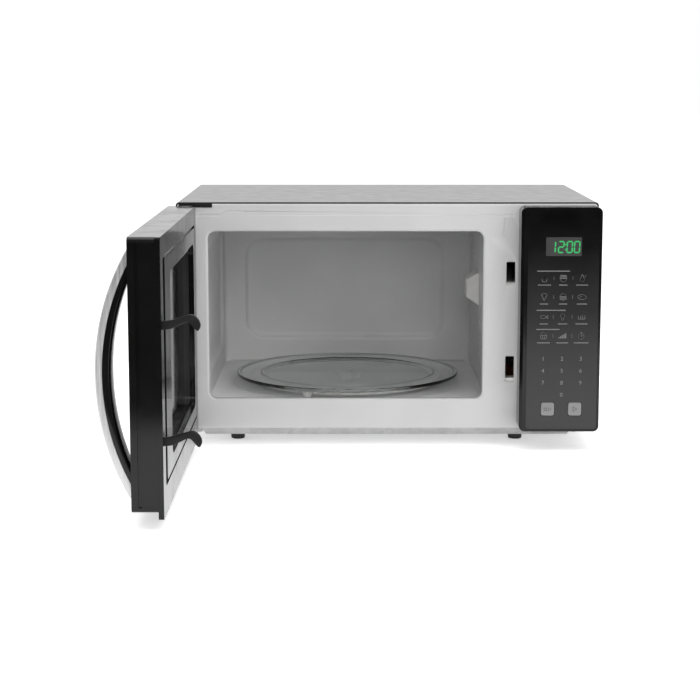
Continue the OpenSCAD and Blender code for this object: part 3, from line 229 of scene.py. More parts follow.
def galvanised(name, dark, light, rough):
    """Zinc-coated sheet: spangle of large cells with differing gloss."""
    f = Finish(name, Metallic=1.0)
    cell = f.tree.nodes.new("ShaderNodeTexVoronoi")
    cell.inputs["Scale"].default_value = 160
    f.link(f.place, cell.inputs["Vector"])
    shade = f.tree.nodes.new("ShaderNodeSeparateColor")
    f.link(cell.outputs["Color"], shade.inputs["Color"])
    f.colour(f.mix(shade.outputs["Red"], grey(dark), grey(light)))
    f.link(f.span(shade.outputs["Green"], 0, 1, rough - 0.08, rough + 0.12),
           f.shader.inputs["Roughness"])
    f.bump(f.noise(500, 3), 0.004)
    return f.material


def fascia_painted_reflection(name):
    """Gloss panel whose colour carries a painted reflection: black at its top to dark grey at its
    foot.
    """
    f = Finish(name, Specular_IOR_Level=0.2)
    axis = f.tree.nodes.new("ShaderNodeSeparateXYZ")
    f.link(f.place, axis.inputs["Vector"])
    height = f.span(axis.outputs["Z"], fascia_lo.z * MM + 0.02, fascia_hi.z * MM - 0.01, 0, 1)
    ramp = f.tree.nodes.new("ShaderNodeValToRGB")
    f.link(height, ramp.inputs["Fac"])
    # These stops are painted reflection, lighter toward the panel's foot.
    stops = ramp.color_ramp.elements
    stops[0].position, stops[0].color = 0.0, grey(58)
    stops[1].position, stops[1].color = 1.0, grey(4)
    for place, value in ((0.35, 50), (0.62, 37), (0.85, 15)):
        stop = stops.new(place)
        stop.color = grey(value)
    f.colour(ramp.outputs["Color"])
    f.roughness(0.16, 0.24, 30, 4)
    f.bump(f.noise(900, 3), 0.002)
    return f.material


def glow(name, colour, strength):
    f = Finish(name, Emission_Strength=strength, Roughness=0.5)
    level = f.span(f.noise(300, 2), 0.3, 0.7, 0, 1)
    tint = f.mix(level, colour, tuple(min(1, c * 1.15) for c in colour[:3]) + (1,))
    f.colour(tint)
    f.link(tint, f.shader.inputs["Emission Color"])
    return f.material


MAT = {
    "cabinet_paint": painted("cabinet_paint", 135, 137, 0.42, peel=0.012, metallic=0.05,
                             fleck=(1500, 175, 0.2)),
    "frame_paint": painted("frame_paint", 193, 199, 0.36, peel=0.01),
    "cavity_paint": painted("cavity_paint", 206, 214, 0.42, peel=0.012, fleck=(900, 150, 0.25)),
    "bare_steel": galvanised("bare_steel", 170, 182, 0.38),
    "magnetron_fins": metal("magnetron_fins", 205, 222, 0.34, brush=(30, 900, 900)),
    "steel_fixings": metal("steel_fixings", 176, 205, 0.32),
    "core_steel": painted("core_steel", 58, 72, 0.4, tint=(0.95, 0.98, 1.05)),
    "windings": moulded("windings", 120, 150, 0.28, tint=(1.2, 0.42, 0.16)),
    "black_gloss": moulded("black_gloss", 9, 12, 0.13, grain=0.0012, spec=0.32),
    "black_matte": moulded("black_matte", 11, 16, 0.46, grain=0.008, spec=0.25),
    "foot_rubber": moulded("foot_rubber", 24, 34, 0.66, grain=0.02, grain_scale=800),
    "silver_trim": metal("silver_trim", 192, 210, 0.4, brush=(700, 700, 14), depth=0.003),
    "key_plastic": moulded("key_plastic", 122, 130, 0.36, grain=0.004),
    "white_plastic": moulded("white_plastic", 222, 236, 0.38, tint=(1, 0.99, 0.96)),
    "tray_glass": clear_glass("tray_glass", (0.95, 0.97, 0.965, 1)),
    "smoked_glass": moulded("smoked_glass", 12, 16, 0.05, grain=0.0005),
    "film": clear_glass("film", (0.30, 0.30, 0.31, 1), rough=0.05),
    "lamp_glass": clear_glass("lamp_glass", (0.97, 0.95, 0.9, 1)),
    "screen_paint": painted("screen_paint", 20, 28, 0.4),
    "ceramic": moulded("ceramic", 214, 230, 0.22, tint=(1, 0.95, 0.9)),
    "board": moulded("board", 70, 92, 0.36, tint=(0.3, 1.0, 0.5)),
    "fascia_painted_reflection": fascia_painted_reflection("fascia_painted_reflection"),
    "display_tint": moulded("display_tint", 60, 66, 0.16, grain=0.0005, tint=(1.0, 0.99, 1.01)),
    "legend_ink": moulded("legend_ink", 106, 120, 0.45),
    "key_ink": moulded("key_ink", 66, 78, 0.45),
    "clock_green": glow("clock_green", (0.01, 0.30, 0.07, 1), 0.5),
}

SLOT_OF = {}
for _name, _node in NODES.items():
    _slot = _node.data.materials[0].name
    SLOT_OF[_name] = _slot
    _node.data.materials[0] = MAT[_slot]
# The fascia takes the material whose colour ramp is a painted reflection.
NODES["control_fascia"].data.materials[0] = MAT["fascia_painted_reflection"]
NODES["display_window"].data.materials[0] = MAT["display_tint"]

# ---- Mesh helpers --------------------------------------------------------------------------


def closed_to_open():
    """The door's closed place to its open place, where the frame holds it at rest."""
    pivot = Vector((hinge_x, hinge_y, 0)) * MM
    return (Matrix.Translation(pivot) @ Matrix.Rotation(math.radians(-90), 4, "Z")
            @ Matrix.Translation(-pivot))


OPEN = closed_to_open()


def finish_mesh(name, mesh, finish, body, sharp=35, door=False):
    if door:
        mesh.transform(OPEN)
    mesh.polygons.foreach_set("use_smooth", [True] * len(mesh.polygons))
    mesh.set_sharp_from_angle(angle=math.radians(sharp))
    mesh.materials.append(MAT[finish])
    piece = bpy.data.objects.new(name, mesh)
    bpy.context.scene.collection.objects.link(piece)
    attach(piece, body)
    return piece


def mesh_from(name, points, faces, weld=0.0005):
    """Mesh from points in mm, with doubles merged and its faces turned outwards."""
    mesh = bpy.data.meshes.new(name)
    mesh.from_pydata([tuple(c * MM for c in p) for p in points], [], faces)
    work = bmesh.new()
    work.from_mesh(mesh)
    bmesh.ops.remove_doubles(work, verts=work.verts, dist=weld * MM)
    bmesh.ops.recalc_face_normals(work, faces=work.faces)
    work.to_mesh(mesh)
    work.free()
    return mesh


def loft(rings, closed=True, capped=True, first=0):
    """Points and faces through rings that have equal counts."""
    points = [p for ring in rings for p in ring]
    n = len(rings[0])
    faces = []
    for i in range(len(rings) - 1):
        for k in range(n if closed else n - 1):
            a, b = first + i * n + k, first + i * n + (k + 1) % n
            faces.append((a, b, b + n, a + n))
    if capped and closed:
        faces.append(tuple(first + k for k in reversed(range(n))))
        faces.append(tuple(first + (len(rings) - 1) * n + k for k in range(n)))
    return points, faces


def rrect(x0, x1, z0, z1, r, steps=8):
    """Rounded rectangle as points, anticlockwise from the lower right corner's start."""
    out = []
    r = max(r, 0.001)
    for cx, cz, start in ((x1 - r, z0 + r, -90), (x1 - r, z1 - r, 0), (x0 + r, z1 - r, 90),
                          (x0 + r, z0 + r, 180)):
        for k in range(steps + 1):
            a = math.radians(start + 90 * k / steps)
            out.append((cx + r * math.cos(a), cz + r * math.sin(a)))
    return out


def circle(cx, cz, r, steps=20):
    return [(cx + r * math.cos(2 * math.pi * k / steps), cz + r * math.sin(2 * math.pi * k / steps))
            for k in range(steps)]


def plate(name, loops, depth, bevel=0.0, bevel_steps=2, to_world=None):
    """Flat plate with holes from closed outlines (the first is the outside), its two faces at
    local z 0 and depth, its edges rounded inwards by bevel. to_world maps (x, y, z) in mm."""
    curve = bpy.data.curves.new(name, "CURVE")
    curve.dimensions = "2D"
    curve.fill_mode = "BOTH"
    curve.extrude = max(depth / 2 - bevel, 0) * MM
    curve.bevel_depth = bevel * MM
    curve.bevel_resolution = bevel_steps
    curve.offset = -bevel * MM
    for loop in loops:
        spline = curve.splines.new("POLY")
        spline.points.add(len(loop) - 1)
        for point, (x, y) in zip(spline.points, loop):
            point.co = (x * MM, y * MM, 0, 1)
        spline.use_cyclic_u = True
    holder = bpy.data.objects.new(name, curve)
    bpy.context.scene.collection.objects.link(holder)
    graph = bpy.context.evaluated_depsgraph_get()
    mesh = bpy.data.meshes.new_from_object(holder.evaluated_get(graph))
    bpy.data.objects.remove(holder)
    work = bmesh.new()
    work.from_mesh(mesh)
    for v in work.verts:
        x, y, z = v.co / MM
        v.co = Vector(to_world(x, y, z + depth / 2)) * MM
    bmesh.ops.remove_doubles(work, verts=work.verts, dist=0.0005 * MM)
    bmesh.ops.recalc_face_normals(work, faces=work.faces)
    work.to_mesh(mesh)
    work.free()
    mesh.materials.clear()
    return mesh


def facing_front(y):
    """Plate outline x, z; its depth runs back along +Y from y."""
    return lambda a, b, d: (a, y + d, b)


def facing_side(x):
    """Plate outline y, z; its depth runs along +X from x."""
    return lambda a, b, d: (x + d, a, b)


def join(name, meshes):
    work = bmesh.new()
    for m in meshes:
        work.from_mesh(m)
    bmesh.ops.remove_doubles(work, verts=work.verts, dist=0.002 * MM)
    out = bpy.data.meshes.new(name)
    work.to_mesh(out)
    work.free()
    return out


def thicken(piece, depth, offset=-1.0):
    """Gives a sheet its thickness and applies it."""
    solid = piece.modifiers.new("thickness", "SOLIDIFY")
    solid.thickness = depth * MM
    solid.offset = offset
    solid.use_even_offset = True
    graph = bpy.context.evaluated_depsgraph_get()
    mesh = bpy.data.meshes.new_from_object(piece.evaluated_get(graph))
    piece.modifiers.clear()
    old = piece.data
    piece.data = mesh
    bpy.data.meshes.remove(old)


def lathe(profile, centre, steps=48, axis="Z"):
    """Points and faces of a profile of (radius, height) turned round an axis."""
    rings = []
    for r, h in profile:
        ring = []
        for k in range(steps):
            a = 2 * math.pi * k / steps
            c, s = r * math.cos(a), r * math.sin(a)
            if axis == "Z":
                ring.append((centre[0] + c, centre[1] + s, centre[2] + h))
            elif axis == "Y":
                ring.append((centre[0] + c, centre[1] + h, centre[2] + s))
            else:
                ring.append((centre[0] + h, centre[1] + c, centre[2] + s))
        rings.append(ring)
    return loft(rings)


def soften(node, width, angle=40, segments=2):
    """Rounds a CAD node's edges with modifiers; its own mesh stays as it is."""
    piece = NODES[node]
    weld = piece.modifiers.new("weld", "WELD")
    weld.merge_threshold = 0.002 * MM
    bevel = piece.modifiers.new("edges", "BEVEL")
    bevel.width = width * MM
    bevel.segments = segments
    bevel.limit_method = "ANGLE"
    bevel.angle_limit = math.radians(angle)
    bevel.use_clamp_overlap = True
    bevel.miter_outer = "MITER_ARC"
    weighted = piece.modifiers.new("normals", "WEIGHTED_NORMAL")
    weighted.keep_sharp = True
    weighted.weight = 80


# ---- Stage ---------------------------------------------------------------------------------


def make_stage():
    scene = bpy.context.scene
    scene.view_settings.view_transform = "Standard"
    camera = bpy.data.objects.new("camera", bpy.data.cameras.new("camera"))
    camera.data.lens = 91.39
    camera.data.sensor_width = 36
    camera.data.clip_start, camera.data.clip_end = 0.05, 60
    camera.location = (-0.02029, -1.86288, 0.40323)
    camera.rotation_euler = (math.radians(90 - 8.95), 0, 0)
    scene.collection.objects.link(camera)
    scene.camera = camera

    world = bpy.data.worlds.new("studio")
    scene.world = world
    world.use_nodes = True
    tree = world.node_tree
    lit = tree.nodes["Background"]
    seen = tree.nodes.new("ShaderNodeBackground")
    seen.inputs["Color"].default_value = (1, 1, 1, 1)
    seen.inputs["Strength"].default_value = 1.0
    place = tree.nodes.new("ShaderNodeTexCoord")
    axis = tree.nodes.new("ShaderNodeSeparateXYZ")
    tree.links.new(place.outputs["Generated"], axis.inputs["Vector"])
    # Dim behind the camera and bright behind the object
    depth = tree.nodes.new("ShaderNodeMapRange")
    for key, number in (("From Min", -1.0), ("From Max", 0.1), ("To Min", 0.09), ("To Max", 0.95)):
        depth.inputs[key].default_value = number
    tree.links.new(axis.outputs["Y"], depth.inputs["Value"])
    tree.links.new(depth.outputs["Result"], lit.inputs["Strength"])
    lit.inputs["Color"].default_value = (1, 1, 1, 1)
    path = tree.nodes.new("ShaderNodeLightPath")
    mix = tree.nodes.new("ShaderNodeMixShader")
    tree.links.new(path.outputs["Is Camera Ray"], mix.inputs[0])
    tree.links.new(lit.outputs[0], mix.inputs[1])
    tree.links.new(seen.outputs[0], mix.inputs[2])
    tree.links.new(mix.outputs[0], tree.nodes["World Output"].inputs["Surface"])

    def softbox(name, place, aim, size, watts, height=None):
        data = bpy.data.lights.new(name, "AREA")
        data.shape = "RECTANGLE"
        data.size, data.size_y = size, height or size
        data.energy = watts
        light = bpy.data.objects.new(name, data)
        light.location = place
        light.rotation_euler = (Vector(aim) - Vector(place)).to_track_quat("-Z", "Y").to_euler()
        scene.collection.objects.link(light)

    softbox("top", (0.1, 0.1, 2.2), (0.0, 0.1, 0.0), 2.4, 26)
    softbox("front_right", (1.5, -1.7, 1.5), (0.0, 0.0, 0.15), 1.4, 16)
    softbox("front_left", (-1.9, -1.3, 1.1), (0.0, 0.0, 0.15), 1.2, 6)
    softbox("front_fill", (0.15, -2.3, 0.95), (0.0, 0.1, 0.14), 0.9, 14)

    floor = Finish("floor", Roughness=0.7, Emission_Strength=0.42)
    floor.two_tone(grey(246), grey(249), 2, 2)
    floor.set(Emission_Color=(1, 1, 1, 1))
    mesh = bpy.data.meshes.new("floor")
    half, near = 14.0, -0.8
    mesh.from_pydata([(-half, near, 0), (half, near, 0), (half, half, 0), (-half, half, 0)], [],
                     [(0, 1, 2, 3)])
    mesh.materials.append(floor.material)
    piece = bpy.data.objects.new("floor", mesh)
    scene.collection.objects.link(piece)


make_stage()

# ---- Front frame ---------------------------------------------------------------------------


def rolled(outer_of, radius, y, steps=5, tail=0.0, inward=True):
    """Rings that turn from the flat front back into a flange. outer_of(offset) gives the outline
    at a distance outside the flange's own line."""
    rings = []
    for k in range(steps + 1):
        a = math.radians(90 * k / steps)
        off = radius * (1 - math.sin(a))
        rings.append([(p[0], y + radius * (1 - math.cos(a)), p[1])
                      for p in outer_of(off if inward else -off)])
    if tail:
        last = outer_of(0)
        rings.append([(p[0], y + radius + tail, p[1]) for p in last])
    return rings


def make_ribs(y):
    """Pressed troughs, round in section, and their outlines on the sheet's face."""
    rib_z = body_h - 13.8
    chains = [
        [(left + 22, rib_z), (left + 47.6, rib_z), (left + 52, rib_z + 4.3),
         (left + 72, rib_z + 4.3)],
        [(panel_x0 - 45.3, rib_z), (panel_x0 - 4.8, rib_z)],
        [(panel_x0 - 14.9, rib_z - 1.5), (panel_x0 - 14.9, rib_z - 24.5)],
    ]
    points, faces, outlines = [], [], []
    half_w, deep = 1.5, 0.72
    for chain in chains:
        line = smooth_chain(chain)
        rings = []
        for i, (px, pz) in enumerate(line):
            ax, az = line[max(i - 1, 0)]
            bx, bz = line[min(i + 1, len(line) - 1)]
            d = math.hypot(bx - ax, bz - az)
            nx, nz = -(bz - az) / d, (bx - ax) / d
            swell = min(1.0, 0.25 + 0.75 * min(i, len(line) - 1 - i) / 2)
            rings.append([(px + nx * half_w * swell * math.cos(a), y + deep * swell * math.sin(a),
                           pz + nz * half_w * swell * math.cos(a))
                          for a in [math.pi * k / 8 for k in range(9)]])
        outlines.append([(g[0][0], g[0][2]) for g in rings] +
                        [(g[-1][0], g[-1][2]) for g in reversed(rings)])
        p, f = loft(rings, closed=False, capped=False, first=len(points))
        points += p
        faces += f
    return mesh_from("ribs", points, faces), outlines


def make_front_frame():
    mouth_roll, edge_roll = 2.6, 1.3
    inset = 1.6        # the sheet's flange inside the wrap
    y = front
    corner = 10

    def mouth(off):
        return rrect(open_x0 - off, open_x1 + off, open_z0 - off, open_z1 + off, OPEN_R + off,
                     corner)

    def edge(off):
        return rrect(left + inset - off, right - inset + off, base_z - off, body_h - inset + off,
                     3 + off, corner)

    slots = [(base_z + 51.3, 27.7), (base_z + 157.3, 24)]
    slot_x0, slot_x1 = panel_x0 - 12.7, panel_x0 - 3.4
    slot_roll = 0.5

    def slot(z0, h):
        return lambda off: rrect(slot_x0 - off, slot_x1 + off, z0 - off, z0 + h + off, 1 + off, 4)

    ribs, rib_outlines = make_ribs(y)
    outline = edge(-edge_roll)
    flat = plate("front_flat", [outline, mouth(mouth_roll)] + rib_outlines +
                 [slot(z, h)(slot_roll) for z, h in slots], 0.0, to_world=facing_front(y))
    meshes = [flat, ribs]
    for rings in [rolled(mouth, mouth_roll, y, 6, 7 - mouth_roll),
                  rolled(edge, edge_roll, y, 4, FLANGE, inward=False)] + \
                 [rolled(slot(z, h), slot_roll, y, 3, 0.4) for z, h in slots]:
        points, faces = loft(rings, capped=False)
        meshes.append(mesh_from("roll", points, faces))
    sheet = join("front_frame_sheet", meshes)
    work = bmesh.new()
    work.from_mesh(sheet)
    bmesh.ops.recalc_face_normals(work, faces=work.faces)
    if sum(f.normal.y * f.calc_area() for f in work.faces) > 0:
        bmesh.ops.reverse_faces(work, faces=work.faces)
    work.to_mesh(sheet)
    work.free()
    piece = finish_mesh("front_frame_sheet", sheet, "frame_paint", "cabinet")
    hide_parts("front_frame")
    thicken(piece, 0.6)

    # A thin black ring just inside the wrap's front edge: painted shadow, standing in for the shade
    # in the gap between wrap and frame.
    gap_shadow_ring = plate("painted_gap_shadow", [rrect(left + 0.2, right - 0.2, base_z + 1, body_h - 0.2, 3, corner),
                               rrect(left + 2.4, right - 2.4, base_z + 1.5, body_h - 2.4, 3,
                                     corner)], 0.4, to_world=facing_front(front + 1.1))
    finish_mesh("painted_gap_shadow", gap_shadow_ring, "black_matte", "cabinet")


def smooth_chain(chain, step=1.6):
    """Points along a chain of straight runs, with its corners eased."""
    line = []
    for i in range(len(chain) - 1):
        (ax, az), (bx, bz) = chain[i], chain[i + 1]
        n = max(2, round(math.hypot(bx - ax, bz - az) / step))
        line += [(ax + (bx - ax) * k / n, az + (bz - az) * k / n) for k in range(n)]
    line.append(chain[-1])
    for _ in range(3):
        line = [line[0]] + [((line[i - 1][0] + 2 * line[i][0] + line[i + 1][0]) / 4,
                             (line[i - 1][1] + 2 * line[i][1] + line[i + 1][1]) / 4)
                            for i in range(1, len(line) - 1)] + [line[-1]]
    return line


make_front_frame()

# ---- Cavity --------------------------------------------------------------------------------


def ease(t):
    t = min(1.0, max(0.0, t))
    return t * t * (3 - 2 * t)


def inside_rrect(x, z, x0, x1, z0, z1, r):
    """Signed distance to a rounded rectangle, positive inside."""
    cx, cz = (x0 + x1) / 2, (z0 + z1) / 2
    hx, hz = (x1 - x0) / 2 - r, (z1 - z0) / 2 - r
    dx, dz = abs(x - cx) - hx, abs(z - cz) - hz
    outside = math.hypot(max(dx, 0), max(dz, 0)) + min(max(dx, dz), 0)
    return r - outside


def make_cavity():
    corner_r = 5.0
    depth = 4.0
    # Plan of the left and back walls, from the mouth round to the right wall's corner
    plan = []
    step = 2.6
    y = cav_y0
    n = round((cav_y1 - corner_r - cav_y0) / step)
    plan += [(cav_x0, cav_y0 + (cav_y1 - corner_r - cav_y0) * k / n, -1, 0) for k in range(n)]
    plan += [(cav_x0 + corner_r - corner_r * math.cos(a), cav_y1 - corner_r +
              corner_r * math.sin(a), -math.cos(a), math.sin(a))
             for a in [math.radians(15 * k) for k in range(7)]]
    n = round((cav_x1 - cav_x0 - 2 * corner_r) / step)
    plan += [(cav_x0 + corner_r + (cav_x1 - cav_x0 - 2 * corner_r) * k / n, cav_y1, 0, 1)
             for k in range(1, n)]
    plan += [(cav_x1 - corner_r + corner_r * math.sin(a), cav_y1 - corner_r +
              corner_r * math.cos(a), math.sin(a), math.cos(a))
             for a in [math.radians(15 * k) for k in range(7)]]
    heights = [FLOOR_Z + (cav_z1 - FLOOR_Z) * k / 76 for k in range(77)]
    bx0, bx1 = cav_x0 + 26, cav_x1 - 32
    bz0, bz1 = FLOOR_Z + 29, cav_z1 - 41
    ly0, ly1 = cav_y0 + 36, cav_y1 - 24
    lz0, lz1 = FLOOR_Z + 26, cav_z1 - 28
    rings = []
    for x, y, nx, ny in plan:
        ring = []
        for z in heights:
            d = 0.0
            if ny > 0.99:
                d = depth * ease(inside_rrect(x, z, bx0, bx1, bz0, bz1, 22) / 3.2)
            elif nx < -0.99:
                d = depth * ease(inside_rrect(y, z, ly0, ly1, lz0, lz1, 18) / 3.2)
            ring.append((x + nx * d, y + ny * d, z))
        rings.append(ring)
    points, faces = loft(rings, closed=False)
    walls = mesh_from("cavity_walls", points, faces)

    # Right wall with its lamp, vent and waveguide openings
    lamp_y, lamp_z = front + 114, FLOOR_Z + 52
    vent_y, vent_z = front + 236, cav_z1 - 47
    guide_y, guide_z = front + 157.5, FLOOR_Z + 108
    loops = [[(cav_y0, FLOOR_Z), (cav_y1 - corner_r, FLOOR_Z), (cav_y1 - corner_r, cav_z1),
              (cav_y0, cav_z1)]]
    for cy, cz, cols, rows, pitch, r in ((lamp_y, lamp_z, 5, 7, 6.6, 1.7),
                                         (vent_y, vent_z, 3, 5, 7.5, 2)):
        loops += [circle(cy + pitch * (i - (cols - 1) / 2), cz + pitch * (k - (rows - 1) / 2), r, 12)
                  for i in range(cols) for k in range(rows)]
    loops.append(rrect(guide_y - 18, guide_y + 18, guide_z - 11, guide_z + 11, 1, 2))
    right_wall = plate("cavity_right", loops, SHEET, to_world=facing_side(cav_x1))

    # Floor with its round track, and the ceiling
    rings = []
    track_r = (glass_hi.x - glass_lo.x) / 2 + 5
    radii = [5.0, 40, 80, 110, track_r - 3, track_r - 2, track_r - 1, track_r, track_r + 0.8]
    spokes = 144
    for r in radii:
        drop = 0.8 * (1 - ease((r - (track_r - 3)) / 3.0))
        rings.append([(tt_x + r * math.cos(a), tt_y + r * math.sin(a), FLOOR_Z - drop)
                      for a in [2 * math.pi * k / spokes for k in range(spokes)]])
    points, faces = loft(rings, capped=False)
    disc = mesh_from("cavity_disc", points, faces)
    outer = [(cav_x0, cav_y0), (cav_x1, cav_y0), (cav_x1, cav_y1 - corner_r)]
    outer += [(cav_x1 - corner_r + corner_r * math.cos(a), cav_y1 - corner_r +
               corner_r * math.sin(a)) for a in [math.radians(15 * k) for k in range(1, 7)]]
    outer += [(cav_x0 + corner_r - corner_r * math.sin(a), cav_y1 - corner_r +
               corner_r * math.cos(a)) for a in [math.radians(15 * k) for k in range(7)]]
    rim = [(tt_x + (track_r + 0.8) * math.cos(2 * math.pi * k / spokes),
            tt_y + (track_r + 0.8) * math.sin(2 * math.pi * k / spokes)) for k in range(spokes)]
    around = plate("cavity_floor", [outer, rim], 0.0,
                   to_world=lambda a, b, d: (a, b, FLOOR_Z + d))
    ceiling = plate("cavity_ceiling", [outer], 0.0, to_world=lambda a, b, d: (a, b, cav_z1 + d))

    shell = join("cavity_shell", [walls, disc, around, ceiling])
    centre = Vector(((cav_x0 + cav_x1) / 2, (cav_y0 + cav_y1) / 2, (FLOOR_Z + cav_z1) / 2)) * MM
    work = bmesh.new()
    work.from_mesh(shell)
    flip = [f for f in work.faces if f.normal.dot(centre - f.calc_center_median()) < 0]
    bmesh.ops.reverse_faces(work, faces=flip)
    work.to_mesh(shell)
    work.free()
    piece = finish_mesh("cavity_shell", shell, "cavity_paint", "cabinet", sharp=50)
    thicken(piece, SHEET)
    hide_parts("cavity_liner")
    finish_mesh("cavity_right_wall", right_wall, "cavity_paint", "cabinet")


make_cavity()

# ---- Door ----------------------------------------------------------------------------------


def arc_rise(half, rise, z):
    """Height of an arc of that half chord and rise at z from its middle."""
    r = (half * half + rise * rise) / (2 * rise)
    return max(0.0, rise - r + math.sqrt(max(r * r - z * z, 0)))


def arch_sweep(name, out_half, out_rise, in_half, in_rise, edge, crown, round_in, finish, node):
    """Handle section swept along its arch, its long edges rounded and its outside crowned."""
    steps = 72
    half_w = HANDLE_W / 2
    rings = []
    for i in range(steps + 1):
        t = math.sin(math.pi * (i / steps - 0.5))
        zo, zi = out_half * t, in_half * t
        outer = Vector((arc_rise(out_half, out_rise, zo), zo))
        inner = Vector((arc_rise(in_half, in_rise, zi), zi))
        thick = (outer - inner).length
        along = (outer - inner) / thick
        r = min(edge, thick * 0.46)
        bottom = min(round_in, thick * 0.45)
        ring = []
        for cx, cf, radius, start in ((half_w - r, thick - r, r, 0), (-half_w + r, thick - r, r, 90),
                                      (-half_w + bottom, bottom, bottom, 180),
                                      (half_w - bottom, bottom, bottom, 270)):
            for k in range(6):
                a = math.radians(start + 18 * k)
                w, f = cx + radius * math.cos(a), cf + radius * math.sin(a)
                if f > thick * 0.5:
                    f -= crown * (w / half_w) ** 2 * min(1.0, thick / 4)
                ring.append((w, f))
        rings.append([(handle_x + w, door_y0 - (inner + along * f)[0],
                       handle_z + (inner + along * f)[1]) for w, f in ring])
    points, faces = loft(rings)
    piece = finish_mesh(name, mesh_from(name, points, faces), finish, "door", sharp=50,
                        door=True)
    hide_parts(node)


def make_handle():
    trim_t, rise, half = 7.1, 32, 114.5
    arch_sweep("handle_outer", half, rise, half - 14.6, rise - trim_t, 1.8, 0.5, 0.5,
               "silver_trim", "handle_trim")
    arch_sweep("handle_grip", half - 14.7, rise - trim_t - 0.05, half - 29.5, rise - 14.7, 0.4, 0,
               5, "black_gloss", "handle_bar")


make_handle()


def ease_outline(points, rounds=3):
    """Closed outline with its corners cut again and again until it is smooth."""
    for _ in range(rounds):
        out = []
        for i, (ax, ay) in enumerate(points):
            bx, by = points[(i + 1) % len(points)]
            out += [(ax * 0.75 + bx * 0.25, ay * 0.75 + by * 0.25),
                    (ax * 0.25 + bx * 0.75, ay * 0.25 + by * 0.75)]
        points = out
    return points


def make_latch():
    """The latch bar with its two hooks, rounded at every edge."""
    lo, hi = box_mm("latch_bar")
    hook_x = hinge_x - ((lo.y + hi.y) / 2 - hinge_y)
    thick = hi.y - lo.y
    hook_z = [base_z + 57, base_z + 160.7]
    length = hi.x - (hinge_x + (door_y1 - hinge_y))
    rise = 7.6
    outline = [(-8, 0), (-8, 0), (length * 0.2, -0.2), (length * 0.41, 3.3),
               (length * 0.63, 7.0), (length * 0.72, 5.8), (length * 0.84, 0.4),
               (length * 0.93, -2.0), (length * 1.01, 3.2), (length * 0.94, 9.6),
               (length * 0.77, 14.0), (length * 0.58, 11.8), (length * 0.18, rise - 0.3),
               (-8, rise), (-8, rise)]
    meshes = []
    for z in hook_z:
        shape = [(door_y1 + a, z + b) for a, b in ease_outline(outline)]
        meshes.append(plate("hook", [shape], thick, bevel=0.9, bevel_steps=3,
                            to_world=facing_side(hook_x - thick / 2)))
    bar_y1 = door_y1 - 7.6
    bar = rrect(bar_y1 - 7, bar_y1, lo.z, hi.z, 1.2, 3)
    meshes.append(plate("bar", [bar], thick, bevel=0.6, bevel_steps=2,
                        to_world=facing_side(hook_x - thick / 2)))
    piece = finish_mesh("latch_hooks", join("latch_hooks", meshes), "black_matte", "latch",
                        door=True)
    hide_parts("latch_bar")


make_latch()

# ---- Control panel -------------------------------------------------------------------------

INK_T = 0.05


class Ink:
    """Flat printed marks on the fascia: closed outlines with their own holes."""

    def __init__(self):
        self.groups = []

    def add(self, *loops):
        self.groups.append(list(loops))

    def line(self, points, width):
        """Stroke of one width along a chain of points, with rounded ends."""
        for (ax, az), (bx, bz) in zip(points, points[1:]):
            d = math.hypot(bx - ax, bz - az) or 1
            a0 = math.atan2(bz - az, bx - ax)
            loop = [(bx + width / 2 * math.cos(a0 + math.radians(t)),
                     bz + width / 2 * math.sin(a0 + math.radians(t))) for t in range(-90, 91, 30)]
            loop += [(ax + width / 2 * math.cos(a0 + math.radians(t)),
                      az + width / 2 * math.sin(a0 + math.radians(t))) for t in range(90, 271, 30)]
            self.add(loop)

    def ring(self, x, z, r, width, start=0, end=360):
        points = [(x + r * math.cos(math.radians(a)), z + r * math.sin(math.radians(a)))
                  for a in range(start, end + 1, 12)]
        self.line(points, width)

    def mesh(self, name, y):
        parts = [plate("ink", loops, INK_T, to_world=facing_front(y)) for loops in self.groups]
        work = bmesh.new()
        for part in parts:
            work.from_mesh(part)
        out = bpy.data.meshes.new(name)
        work.to_mesh(out)
        work.free()
        return out


def seven_segment(ink, x, z, w, h, thick, lit):
    """Bars of one digit round its middle; lit names them a to g."""
    gap = 0.18
    half_w, half_h = w / 2, h / 2
    bars = {
        "a": ((-half_w, half_h), (half_w, half_h)), "g": ((-half_w, 0), (half_w, 0)),
        "d": ((-half_w, -half_h), (half_w, -half_h)), "f": ((-half_w, 0), (-half_w, half_h)),
        "b": ((half_w, 0), (half_w, half_h)), "e": ((-half_w, -half_h), (-half_w, 0)),
        "c": ((half_w, -half_h), (half_w, 0)),
    }
    for key in lit:
        (ax, az), (bx, bz) = bars[key]
        level = az == bz
        s, t = gap, thick / 2
        if level:
            loop = [(ax + s, az), (ax + s + t, az - t), (bx - s - t, az - t), (bx - s, az),
                    (bx - s - t, az + t), (ax + s + t, az + t)]
        else:
            loop = [(ax, az + s), (ax + t, az + s + t), (ax + t, bz - s - t), (ax, bz - s),
                    (ax - t, bz - s - t), (ax - t, az + s + t)]
        ink.add([(x + px + pz * 0.05, z + pz) for px, pz in loop])


def make_clock():
    digits = {"1": "bc", "2": "abged", "0": "abcdef"}
    ink = Ink()
    cx, cz = (window_lo.x + window_hi.x) / 2, (window_lo.z + window_hi.z) / 2 - 0.4
    w, h, thick = 5.4, 11.6, 1.35
    for x, value in ((-11.2, "1"), (-1.6 - 0.7, "2"), (6.6, "0"), (14.4, "0")):
        seven_segment(ink, cx + x - 0.6, cz, w, h, thick, digits[value])
    for z in (-2.6, 2.6):
        ink.add(circle(cx + 1.6, cz + z, 0.75, 12))
    finish_mesh("clock_digits", ink.mesh("clock_digits", window_lo.y - INK_T - 0.01),
                "clock_green", "cabinet")


make_clock()


